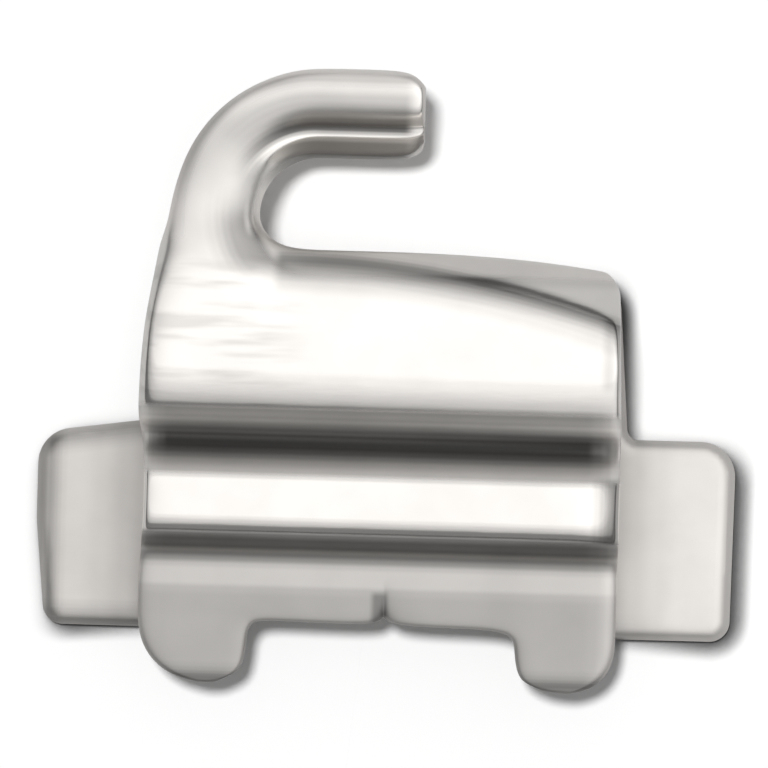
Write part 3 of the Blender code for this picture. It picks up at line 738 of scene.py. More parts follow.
class LatticeCage:
    """Control cage of blocks in a lattice, of which only the outer skin becomes a mesh.

    A lattice address is (column, row, layer): columns run along X, rows run down the front of the
    section, and layers run from the back to the front.
    """

    def __init__(self, name: str) -> None:
        """Start with no blocks."""
        self.name = name
        self.blocks: set[Address] = set()

    def add_blocks(self, columns: Iterable[int], rows: Iterable[int], layers: Iterable[int]) -> None:
        """Fill the blocks that the three ranges span."""
        self.blocks |= {(c, r, l) for c in columns for r in rows for l in layers}

    def remove_blocks(self, columns: Iterable[int], rows: Iterable[int], layers: Iterable[int]) -> None:
        """Empty the blocks that the three ranges span."""
        self.blocks -= {(c, r, l) for c in columns for r in rows for l in layers}

    @staticmethod
    def block_faces(block: Address) -> list[list[Address]]:
        """Return the corner addresses of a block's six faces.

        Args:
            block: The block's lowest address.

        Returns:
            Six lists of four addresses.
        """
        faces = []
        for axis in range(3):
            across, up = (a for a in range(3) if a != axis)
            for side in (0, 1):
                corners = []
                for step_across, step_up in ((0, 0), (1, 0), (1, 1), (0, 1)):
                    address = list(block)
                    address[axis] += side
                    address[across] += step_across
                    address[up] += step_up
                    corners.append(tuple(address))
                faces.append(corners)
        return faces

    def skin(
        self, place: Callable[..., Place], crease_of: Callable[[Address, Address], float]
    ) -> bpy.types.Mesh:
        """Build a mesh of the faces that belong to one block only.

        Args:
            place: Gives an address's place in space.
            crease_of: Gives the sharpness of the edge between two addresses.

        Returns:
            The closed control mesh, with its edges' creases.
        """
        faces: dict[frozenset, list] = {}
        for block in sorted(self.blocks):
            for corners in self.block_faces(block):
                faces.setdefault(frozenset(corners), []).append(corners)
        mesh = bmesh.new()
        crease = mesh.edges.layers.float.new("crease_edge")
        points = {}
        for users in faces.values():
            if len(users) == 1:
                for address in users[0]:
                    if address not in points:
                        points[address] = mesh.verts.new(place(*address))
                mesh.faces.new([points[address] for address in users[0]])
        addresses = {point: address for address, point in points.items()}
        for edge in mesh.edges:
            edge[crease] = crease_of(*(addresses[point] for point in edge.verts))
        bmesh.ops.recalc_face_normals(mesh, faces=mesh.faces)
        data = bpy.data.meshes.new(self.name)
        mesh.to_mesh(data)
        mesh.free()
        return data


def link(name: str, data: bpy.types.Mesh) -> bpy.types.Object:
    """Add an object with this mesh to the scene.

    Args:
        name: The object's name.
        data: Its mesh.

    Returns:
        The new object.
    """
    made = bpy.data.objects.new(name, data)
    bpy.context.scene.collection.objects.link(made)
    return made


def evaluated_mesh(item: bpy.types.Object, name: str) -> bpy.types.Mesh:
    """Return a plain mesh of an object with its modifiers applied.

    Args:
        item: The object.
        name: The new mesh's name.

    Returns:
        The mesh.
    """
    graph = bpy.context.evaluated_depsgraph_get()
    data = bpy.data.meshes.new_from_object(item.evaluated_get(graph), depsgraph=graph)
    data.name = name
    return data


def report(item: bpy.types.Object) -> None:
    """Log a piece's name and its count of triangles.

    Args:
        item: The piece.
    """
    graph = bpy.context.evaluated_depsgraph_get()
    data = item.evaluated_get(graph).to_mesh()
    count = sum(len(face.vertices) - 2 for face in data.polygons)
    log.info("%s: %d triangles", item.name, count)


@dataclass
class TubeBody:
    """The casting: barrel, groove, ridge, lip with two tie wings, and hook."""

    node: str = "tube_body"
    back: float = 0.235 * MM
    length: float = 4.20 * MM
    body_top: float = 2.20 * MM
    end_rim: float = 0.09 * MM
    shoulder_drop: float = 0.14 * MM
    shoulder_length: float = 1.80 * MM
    mouth_corner: float = 0.13 * MM
    passage_height: float = 0.56 * MM
    passage_depth: float = 0.71 * MM
    passage_floor: float = 0.30 * MM
    passage_flare: float = 0.03 * MM
    flare_length: float = 0.17 * MM
    ridge_side_wall: float = 0.12 * MM
    ridge_crest_wall: float = 0.305 * MM
    ridge_roll_at_hook: float = 0.04 * MM
    ridge_roll_at_mouth: float = 0.15 * MM
    ridge_roll_length: float = 0.35 * MM
    ridge_inset: float = 0.03 * MM
    groove_width_at_hook: float = 0.255 * MM
    groove_width_at_mouth: float = 0.20 * MM
    groove_floor: float = 0.70 * MM
    groove_end_rise: float = 0.22 * MM
    groove_end_length: float = 0.20 * MM
    barrel_radius_at_hook: float = 0.945 * MM
    barrel_radius_at_mouth: float = 0.57 * MM
    barrel_taper_power: float = 2.8
    barrel_crest_at_hook: float = 1.565 * MM
    barrel_crest_at_mouth: float = 1.325 * MM
    barrel_front_at_hook: float = 0.322 * MM
    barrel_front_at_mouth: float = 0.142 * MM
    barrel_roll_at_hook: float = 0.11 * MM
    barrel_roll_at_mouth: float = 0.03 * MM
    barrel_roll_length: float = 0.25 * MM
    barrel_overhang: float = 0.04 * MM
    under_radius: float = 1.32 * MM
    under_corner: float = 0.165 * MM
    flank_tilt: float = math.radians(54.0)
    lip_drop: float = 1.075 * MM
    lip_slant: float = 0.03 * MM
    lip_face: float = 0.68 * MM
    lip_slope: float = 0.06 * MM
    lip_roll: float = 0.05 * MM
    lip_thickness: float = 0.40 * MM
    lip_fillet: float = 0.13 * MM
    scribe_place: float = 0.06 * MM
    scribe_half_width: float = 0.07 * MM
    scribe_depth: float = 0.09 * MM
    scribe_notch: float = 0.075 * MM
    wing_width_at_hook: float = 0.98 * MM
    wing_width_at_mouth: float = 0.90 * MM
    wing_drop_at_hook: float = 0.57 * MM
    wing_drop_at_mouth: float = 0.53 * MM
    wing_outer_corner_at_hook: float = 0.53 * MM
    wing_outer_corner_at_mouth: float = 0.38 * MM
    wing_inner_corner: float = 0.15 * MM
    wing_inner_rise_at_hook: float = 0.06 * MM
    wing_inner_rise_at_mouth: float = 0.04 * MM
    wing_inner_lean: float = 0.05 * MM
    neck_width: float = 1.12 * MM
    neck_lean: float = 0.11 * MM
    mouth_lean: float = 0.05 * MM
    neck_fall: float = 0.14 * MM
    neck_outer_fall: float = 0.12 * MM
    neck_inner_fall: float = 0.18 * MM
    neck_edge: float = 0.96
    hook_width: float = 0.77 * MM
    hook_depth: float = 0.74 * MM
    hook_standoff: float = 0.28 * MM
    hook_rise: float = 0.30 * MM
    hook_bend_radius: float = 0.89 * MM
    hook_arm_length: float = 0.93 * MM
    hook_tip_rounding: float = 0.20 * MM
    hook_tip_outer_shrink: float = 0.34
    hook_tip_inner_shrink: float = 0.24
    hook_tip_face_shrink: float = 0.12
    subdivision: int = 3

    layers = 3
    layer_shares = (0.0, 0.36, 0.84, 1.0)
    passage_crease = 1.0
    rim_crease = 0.9
    scribe_crease = 0.7
    arm_crease = 0.5
    foot_shares = (0.4, 0.8)
    bend_turns = (6, 24, 42, 60, 78, 90)
    straight_shares = (0.5, 1.0)
    tip_shares = (0.6, 1.0)
    groove_wall = 0.34
    groove_shelf = 0.15
    wing_rows = (0.35, 0.66, 0.90, 1.0)
    over_tilts = tuple(math.radians(tilt) for tilt in (36, 18, 0))
    under_tilts = tuple(math.radians(tilt) for tilt in (20, 37))
    corner_tilts = tuple(math.radians(tilt) for tilt in (60, 82))
    corner_lifts = (0.25, 0.7)
    ridge_tilts = tuple(math.radians(tilt) for tilt in (80, 52, 26, 0, -26, -52, -80))
    arm_section = (
        ((0.78, -0.82), (0.45, -0.98), (0.12, -1.02), (-0.20, -1.02), (-0.55, -1.00), (-0.92, -0.95)),
        ((1.03, -0.40), None, None, None, None, (-1.02, -0.70)),
        ((1.06, 0.15), None, None, None, None, (-0.92, -0.38)),
        ((1.03, 0.78), (0.84, 0.97), (0.13, 0.94), (-0.29, 0.36), (-0.49, 0.43), (-0.74, -0.05)),
    )
    neck_columns = 5
    hook_wing_columns = 4
    scribe_column = 8
    mouth_wing_column = 11
    passage_rows = range(14, 18)

    def __post_init__(self) -> None:
        """Work out what follows from the sizes."""
        self.half_length = self.length / 2
        self.passage_bottom = self.back + self.passage_floor
        self.passage_top = self.passage_bottom + self.passage_depth
        self.ridge_radius = self.passage_height / 2 + self.ridge_side_wall
        self.ridge_centre = self.passage_top + self.ridge_crest_wall - self.ridge_radius
        self.columns = self.plan_columns()
        self.last_column = len(self.columns) - 1
        self.hook_stations = self.plan_hook()
        self.last_row = len(self.front_curve(0.0)) - 1

    def plan_columns(self) -> list[float]:
        """Return the places of the lattice's columns along the body.

        Returns:
            The columns' X, from the hook's end to the mouth's.
        """
        wing_inner = -self.half_length + self.wing_width_at_hook
        mouth_wing = self.half_length - self.wing_width_at_mouth
        neck_inner = -self.half_length + self.neck_width + self.end_rim
        flare_start = self.half_length - self.flare_length
        columns = [-self.half_length, -self.half_length + self.end_rim]
        columns += [mix(columns[1], wing_inner, share) for share in (0.3, 0.7, 1)]
        scribe_left = self.scribe_place - self.scribe_half_width
        scribe_right = self.scribe_place + self.scribe_half_width
        columns += [neck_inner, mix(neck_inner, scribe_left, 0.5), scribe_left, self.scribe_place]
        columns += [scribe_right, mix(scribe_right, mouth_wing, 0.5), mouth_wing]
        columns += [mix(mouth_wing, flare_start, share) for share in (0.35, 0.75, 1)]
        return columns + [self.half_length - self.end_rim, self.half_length]

    def taper(self, x: float) -> float:
        """Return how far the barrel has tapered at a place along the body."""
        return ((x + self.half_length) / self.length) ** self.barrel_taper_power

    def end_roll(self, x: float, at_hook: float, at_mouth: float, length: float) -> float:
        """Return how far the front falls near the body's ends, which are rolled over.

        Args:
            x: Place along the body.
            at_hook: Fall at the hook's end, within the rim.
            at_mouth: Fall at the mouth's end.
            length: Length of the roll at the mouth's end.

        Returns:
            The fall at this place.
        """
        hook_share = max(0.0, 1 - (x + self.half_length) / self.end_rim)
        mouth_share = max(0.0, 1 - (self.half_length - x) / length)
        return at_hook * hook_share ** 2 + at_mouth * mouth_share ** 2

    def barrel(self, x: float) -> tuple[float, float, float]:
        """Return the barrel's radius, and its centre in Y and Z, at a place along the body.

        Args:
            x: Place along the body.

        Returns:
            Radius, Y and Z.
        """
        share = (x + self.half_length) / self.length
        radius = mix(self.barrel_radius_at_hook, self.barrel_radius_at_mouth, self.taper(x))
        front = mix(self.barrel_front_at_hook, self.barrel_front_at_mouth, self.taper(x))
        crest = self.back + mix(self.barrel_crest_at_hook, self.barrel_crest_at_mouth, share)
        roll = self.end_roll(x, self.barrel_roll_at_hook, self.barrel_roll_at_mouth, self.barrel_roll_length)
        return radius - roll, self.under_start(x) + front, crest - radius

    def groove_width(self, x: float) -> float:
        """Return the groove's width at a place along the body."""
        return mix(self.groove_width_at_hook, self.groove_width_at_mouth, self.taper(x))

    def groove_rise(self, x: float) -> float:
        """Return how far the groove's floor rises at the mouth's end."""
        return self.end_roll(x, 0.0, self.groove_end_rise, self.groove_end_length)

    def under_edge(self, x: float) -> float:
        """Return the Y at which the barrel's underside turns into the groove's wall."""
        return self.ridge_radius + self.groove_width(x) + self.under_corner

    def under_start(self, x: float) -> float:
        """Return the Y at which the barrel's underside begins."""
        shallow, steep = self.under_tilts
        return self.under_edge(x) + self.under_radius * (math.sin(steep) - math.sin(shallow))

    def top(self, x: float) -> float:
        """Return the height of the body's top edge, which rounds down to the mouth's end.

        Args:
            x: Place along the body.

        Returns:
            The top edge's Y.
        """
        run = max(0.0, x - self.half_length + self.shoulder_length) / self.shoulder_length
        corner = corner_inset(x, self.half_length, self.mouth_corner)
        return self.body_top - self.shoulder_drop * run * run - corner

    def barrel_front(self, x: float) -> list[tuple[float, float]]:
        """Return the barrel's front from the body's top edge down into the groove.

        Args:
            x: Place along the body.

        Returns:
            The points, as Y and Z.
        """
        radius, centre_y, centre_z = self.barrel(x)
        top = self.top(x)
        tilt = min(self.flank_tilt, math.asin(min(0.99, (top - centre_y) / radius)) * 0.92)
        start = (centre_y + radius * math.sin(tilt), centre_z + radius * math.cos(tilt))
        end = (top, start[1] - (top - start[0]) * math.tan(self.flank_tilt))
        points = [end, mix_points(end, start, 0.4), start]
        for tilt in self.over_tilts:
            points.append((centre_y + radius * math.sin(tilt), centre_z + radius * math.cos(tilt)))
        return points + self.barrel_underside(x, points[-1])

    def barrel_underside(self, x: float, crest: tuple[float, float]) -> list[tuple[float, float]]:
        """Return the barrel's lower front: a flat curve down from its crest and a tight corner.

        Args:
            x: Place along the body.
            crest: The crest's Y and Z there.

        Returns:
            The points down to the groove's wall.
        """
        shallow, steep = self.under_tilts
        edge = self.under_edge(x)
        start = self.under_start(x)
        start_z = crest[1] - (crest[0] - start) * math.tan(shallow / 2)
        edge_z = start_z - self.under_radius * (math.cos(shallow) - math.cos(steep))
        corner = self.under_corner / (1 - math.sin(steep))
        points = [(start, start_z), (edge, edge_z)]
        for tilt, lifted in zip(self.corner_tilts, self.corner_lifts):
            y = edge - corner * (math.sin(tilt) - math.sin(steep))
            z = edge_z - corner * (math.cos(steep) - math.cos(tilt))
            points.append((y, z + lifted * self.groove_rise(x)))
        return points

    def neck_across(self, x: float) -> float:
        """Return the place across the neck: 1 at its outer side and -1 at its inner side."""
        first, last = self.columns[0], self.columns[self.neck_columns]
        return max(-1.0, 1 - 2 * (x - first) / (last - first))

    def crown_fall(self, across: float) -> float:
        """Return how far the neck's front falls from its crown towards its sides."""
        outer = self.neck_outer_fall * max(0.0, across) ** 2
        return outer + self.neck_inner_fall * max(0.0, -across) ** 2

    def neck_front(self, x: float) -> list[tuple[float, float]]:
        """Return the barrel's front where the hook's neck carries it on upwards.

        Args:
            x: Place along the body.

        Returns:
            The points, as Y and Z.
        """
        points = self.barrel_front(x)
        radius, centre_y, centre_z = self.barrel(x)
        fall = self.neck_fall + self.crown_fall(self.neck_across(x))
        steps = len(self.over_tilts) + 2
        for step in range(steps):
            share = 1 - step / steps
            points[step] = (mix(centre_y, self.top(x), share), centre_z + radius - fall * share * share)
        return points

    def front_curve(self, x: float) -> list[tuple[float, float]]:
        """Return the section's front, from its top edge to the lip's edge.

        Args:
            x: Place along the body.

        Returns:
            The points, as Y and Z.
        """
        neck_end = -self.half_length + self.neck_width
        share = smooth_step(x, neck_end - 2.5 * self.end_rim, neck_end + 4 * self.end_rim)
        upper = [mix_points(a, b, share) for a, b in zip(self.neck_front(x), self.barrel_front(x))]
        width = self.groove_width(x)
        floor = self.back + self.groove_floor + self.groove_rise(x)
        middle = self.ridge_radius + width / 2
        wall = self.groove_wall * width
        shelf = floor + self.groove_shelf * width
        groove = [(middle + wall, shelf), (middle, floor), (middle - wall, shelf)]
        drop = self.end_roll(x, self.ridge_roll_at_hook, self.ridge_roll_at_mouth, self.ridge_roll_length)
        ridge = []
        for tilt in self.ridge_tilts:
            height = self.ridge_centre + (self.ridge_radius - drop) * math.cos(tilt)
            ridge.append((self.ridge_radius * math.sin(tilt), height))
        return upper + groove + ridge + self.lip_front(x)

    def lip_edge(self, x: float) -> float:
        """Return the Y of the lip's edge, which slants a little."""
        return -self.lip_drop - self.lip_slant * x / self.half_length

    def lip_front(self, x: float) -> list[tuple[float, float]]:
        """Return the section's front from the ridge's foot to the lip's edge, with the scribe mark.

        Args:
            x: Place along the body.

        Returns:
            The points, as Y and Z.
        """
        face = self.back + self.lip_face - self.end_roll(x, self.lip_roll, self.lip_roll, self.end_rim)
        foot = -self.ridge_radius - self.lip_fillet
        edge = self.lip_edge(x)
        scribe = max(0.0, 1 - abs(x - self.scribe_place) / self.scribe_half_width)
        depth = self.scribe_depth * scribe
        return [
            (-self.ridge_radius - 0.25 * self.lip_fillet, face + 0.6 * self.lip_fillet),
            (foot, face),
            (mix(foot, edge, 0.3), face),
            (mix(foot, edge, 0.75), face - 0.5 * self.lip_slope - 0.5 * depth),
            (edge + self.scribe_notch * scribe, face - self.lip_slope - depth),
        ]

    def back_point(self, row: int, front: tuple[float, float]) -> tuple[float, float]:
        """Return the section's back point in a row: the seat on the flange, or the lip's underside.

        Args:
            row: Row of the lattice.
            front: The row's front point.

        Returns:
            Y and Z.
        """
        rows_below_ridge = row - (self.last_row - 4)
        underside = self.back + self.lip_face - self.lip_thickness
        seat_end = -self.ridge_radius - self.lip_fillet
        if rows_below_ridge < 0:
            return (front[0], self.back)
        if rows_below_ridge == 0:
            return (-self.ridge_radius - 0.5 * self.lip_fillet, self.back)
        if rows_below_ridge == 1:
            return (seat_end, self.back)
        if rows_below_ridge == 2:
            return (seat_end - 0.4 * self.lip_fillet, underside)
        return (front[0], underside)

    def plan_hook(self) -> list[tuple[float, float, float, float, float]]:
        """Return the stations that the hook's section passes through.

        Returns:
            Centre in X and Y, outward angle, share of the bend and share of the tip, for each.
        """
        bend = self.hook_bend_radius
        bend_x = -self.half_length + self.neck_lean + bend + self.hook_width / 2 + self.end_rim
        bend_y = self.body_top + self.hook_rise
        stations = []
        for share in self.foot_shares:
            stations.append((bend_x - bend, mix(self.body_top, bend_y, share), 180.0, 0.0, 0.0))
        for turn in self.bend_turns:
            x = bend_x - bend * math.cos(math.radians(turn))
            y = bend_y + bend * math.sin(math.radians(turn))
            stations.append((x, y, 180.0 - turn, turn / 90, 0.0))
        straight = self.hook_arm_length - self.hook_tip_rounding
        for share in self.straight_shares:
            stations.append((bend_x + straight * share, bend_y + bend, 90.0, 1.0, 0.0))
        for share in self.tip_shares:
            x = bend_x + straight + self.hook_tip_rounding * share
            stations.append((x, bend_y + bend, 90.0, 1.0, share))
        return stations

    def neck_section(self, column: int, layer: int, half_depth: float) -> tuple[float, float]:
        """Return the neck's crowned section as shares of its half width and half depth.

        Args:
            column: Column of the lattice.
            layer: Layer of the lattice.
            half_depth: Half the neck's depth.

        Returns:
            The two shares.
        """
        across = self.neck_across(self.columns[column]) if column != 1 else self.neck_edge
        up = 2 * layer / self.layers - 1
        if layer == self.layers:
            rim = self.barrel_roll_at_hook if column == 0 else 0.0
            up -= (self.crown_fall(across) + rim) / half_depth
        return across, up

    def hook_point(self, column: int, row: int, layer: int) -> Place:
        """Return a point of the hook's section; row -1 is the first station above the body.

        Args:
            column: Column of the lattice.
            row: Row of the lattice.
            layer: Layer of the lattice.

        Returns:
            The point in space.
        """
        x, y, angle, bent, tip = self.hook_stations[-row - 1]
        rise = min(1.0, (y - self.body_top) / (self.hook_rise + self.hook_bend_radius))
        spread = max(0.0, 1 - (y - self.body_top) / self.hook_rise)
        inner_spread = 0.55 * (self.neck_width - self.hook_width) * spread * spread
        back = self.back + self.hook_standoff * smooth_step(rise, 0.0, 0.8)
        radius, _, centre_z = self.barrel(-self.half_length + self.neck_width / 2)
        neck_crest = centre_z + radius - self.neck_fall
        arm_crest = self.back + self.hook_standoff + self.hook_depth
        crest = mix(neck_crest, arm_crest, smooth_step(rise, -0.1, 1.0))
        half_depth = (crest - back) / 2
        inside = 0 < column < self.neck_columns and 0 < layer < self.layers
        section = self.neck_section(column, layer, half_depth)
        if not inside:
            section = mix_points(section, self.arm_section[layer][column], smooth_step(bent, 0.25, 0.95))
        shrink = self.hook_tip_outer_shrink if section[0] > 0 else self.hook_tip_inner_shrink
        along = section[0] * self.hook_width / 2 * (1 - shrink * tip * tip)
        along += section[0] * (inner_spread if section[0] < 0 else self.end_rim * spread)
        outward = math.radians(angle)
        z = crest - half_depth + section[1] * half_depth * (1 - self.hook_tip_face_shrink * tip * tip)
        return (x + math.cos(outward) * along, y + math.sin(outward) * along, z)

    def wing_point(self, column: int, row: int, layer: int) -> Place:
        """Return a point of a tie wing, which hangs below the lip and has round corners.

        Args:
            column: Column of the lattice.
            row: Row of the lattice.
            layer: Layer of the lattice.

        Returns:
            The point in space.
        """
        down = self.wing_rows[row - self.last_row - 1]
        at_hook = column <= self.hook_wing_columns
        if at_hook:
            inner, outer = self.columns[self.hook_wing_columns], self.columns[0]
            full, corner = self.wing_drop_at_hook, self.wing_outer_corner_at_hook
            inner_rise = self.wing_inner_rise_at_hook
        else:
            inner, outer = self.columns[self.mouth_wing_column], self.columns[-1]
            full, corner = self.wing_drop_at_mouth, self.wing_outer_corner_at_mouth
            inner_rise = self.wing_inner_rise_at_mouth
        share = (self.columns[column] - inner) / (outer - inner)
        side = -1.0 if at_hook else 1.0
        inset = corner_inset(down * full, full, self.wing_inner_corner)
        inner += side * (inset + self.wing_inner_lean * down)
        outer -= side * corner_inset(down * full, full, corner)
        drop = down * (full - inner_rise * max(0.0, 1 - 2 * share) ** 2)
        face = self.back + self.lip_face - self.end_roll(
            self.columns[column], self.lip_roll, self.lip_roll, self.end_rim
        )
        front = face - self.lip_slope * (1 + 0.5 * down)
        back = self.back + self.lip_face - self.lip_thickness
        y = self.lip_edge(self.columns[column]) - drop
        return (mix(inner, outer, share), y, mix(back, front, layer / self.layers))

    def place(self, column: int, row: int, layer: int) -> Place:
        """Return the place of a lattice address in space.

        Args:
            column: Column of the lattice.
            row: Row of the lattice.
            layer: Layer of the lattice.

        Returns:
            The point in space.
        """
        if row < 0:
            return self.hook_point(column, row, layer)
        if row > self.last_row:
            return self.wing_point(column, row, layer)
        x = self.columns[column]
        front = self.front_curve(x)[row]
        back = self.back_point(row, front)
        y, z = mix_points(back, front, self.layer_shares[layer])
        rows = self.passage_rows
        if layer in (1, 2) and rows.start <= row <= rows.stop:
            flare_start = self.half_length - self.flare_length
            flare = self.passage_flare * smooth_step(x, flare_start, self.half_length)
            y = (1 - 2 * (row - rows.start) / len(rows)) * (self.passage_height / 2 + flare)
            z = self.passage_bottom - flare if layer == 1 else self.passage_top
        return (x + self.lean(x, y), y, z)

    def lean(self, x: float, y: float) -> float:
        """Return how far a point of the body moves along X, where its ends lean, overhang or draw in.

        Args:
            x: Place along the body.
            y: Place across the body.

        Returns:
            The move along X.
        """
        groove_top = self.ridge_radius + self.groove_width_at_hook
        height = max(0.0, (y - groove_top) / (self.body_top - groove_top))
        inner = self.columns[self.neck_columns]
        hook_share = max(0.0, (inner - x) / (inner + self.half_length))
        rim_share = max(0.0, 1 - (x + self.half_length) / (2 * self.end_rim))
        overhang = self.barrel_overhang * smooth_step(y, self.ridge_radius, groove_top + self.under_corner)
        shift = self.neck_lean * height ** 2 * hook_share
        shift -= self.mouth_lean * height * max(0.0, x / self.half_length)
        shift -= overhang * (1 - smooth_step(height, 0.4, 1.0)) * rim_share
        shift += self.ridge_inset * max(0.0, 1 - (y / groove_top) ** 2) * rim_share
        return shift

    def crease(self, first: Address, second: Address) -> float:
        """Return how sharp the edge between two addresses stays: the passage and the seat are sharp.

        Args:
            first: One end's address.
            second: The other end's address.

        Returns:
            The sharpness, from 0 to 1.
        """
        rows = self.passage_rows
        pair = (first, second)
        on_corner = all(a[1] in (rows.start, rows.stop) and a[2] in (1, 2) for a in pair)
        if on_corner and first[1] == second[1] and first[2] == second[2]:
            return self.passage_crease
        for end in (0, self.last_column):
            if all(a[0] == end and rows.start <= a[1] <= rows.stop and a[2] in (1, 2) for a in pair):
                return self.rim_crease
            if all(a[0] == end and a[2] == 0 and 0 <= a[1] <= self.last_row - 3 for a in pair):
                return self.rim_crease
        for row in (0, self.last_row - 3):
            if all(a[1] == row and a[2] == 0 for a in pair):
                return self.rim_crease
        if all(a[1] < -4 and a[0] == 4 and a[2] == self.layers for a in pair):
            return self.arm_crease
        if all(a[1] > self.last_row - 3 and a[0] == self.scribe_column for a in pair):
            return self.scribe_crease
        return 0.0

    def build(self, finish: SteelFinish) -> bpy.types.Object:
        """Build the casting and dress it.

        Args:
            finish: What its surface looks like.

        Returns:
            The piece, which stands for the CAD node.
        """
        cage = LatticeCage("casting")
        layers = range(self.layers)
        cage.add_blocks(range(self.last_column), range(self.last_row), layers)
        cage.remove_blocks(range(self.last_column), self.passage_rows, range(1, 2))
        cage.add_blocks(range(self.neck_columns), range(-len(self.hook_stations), 0), layers)
        wing_rows = range(self.last_row, self.last_row + len(self.wing_rows))
        cage.add_blocks(range(self.hook_wing_columns), wing_rows, layers)
        cage.add_blocks(range(self.mouth_wing_column, self.last_column), wing_rows, layers)
        body = link("casting", cage.skin(self.place, self.crease))
        smooth = body.modifiers.new("Smooth casting", "SUBSURF")
        smooth.levels = self.subdivision
        smooth.render_levels = self.subdivision
        body.data.shade_smooth()
        body.data.materials.append(finish.material())
        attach(body, "root")
        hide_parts(self.node)
        report(body)
        return body


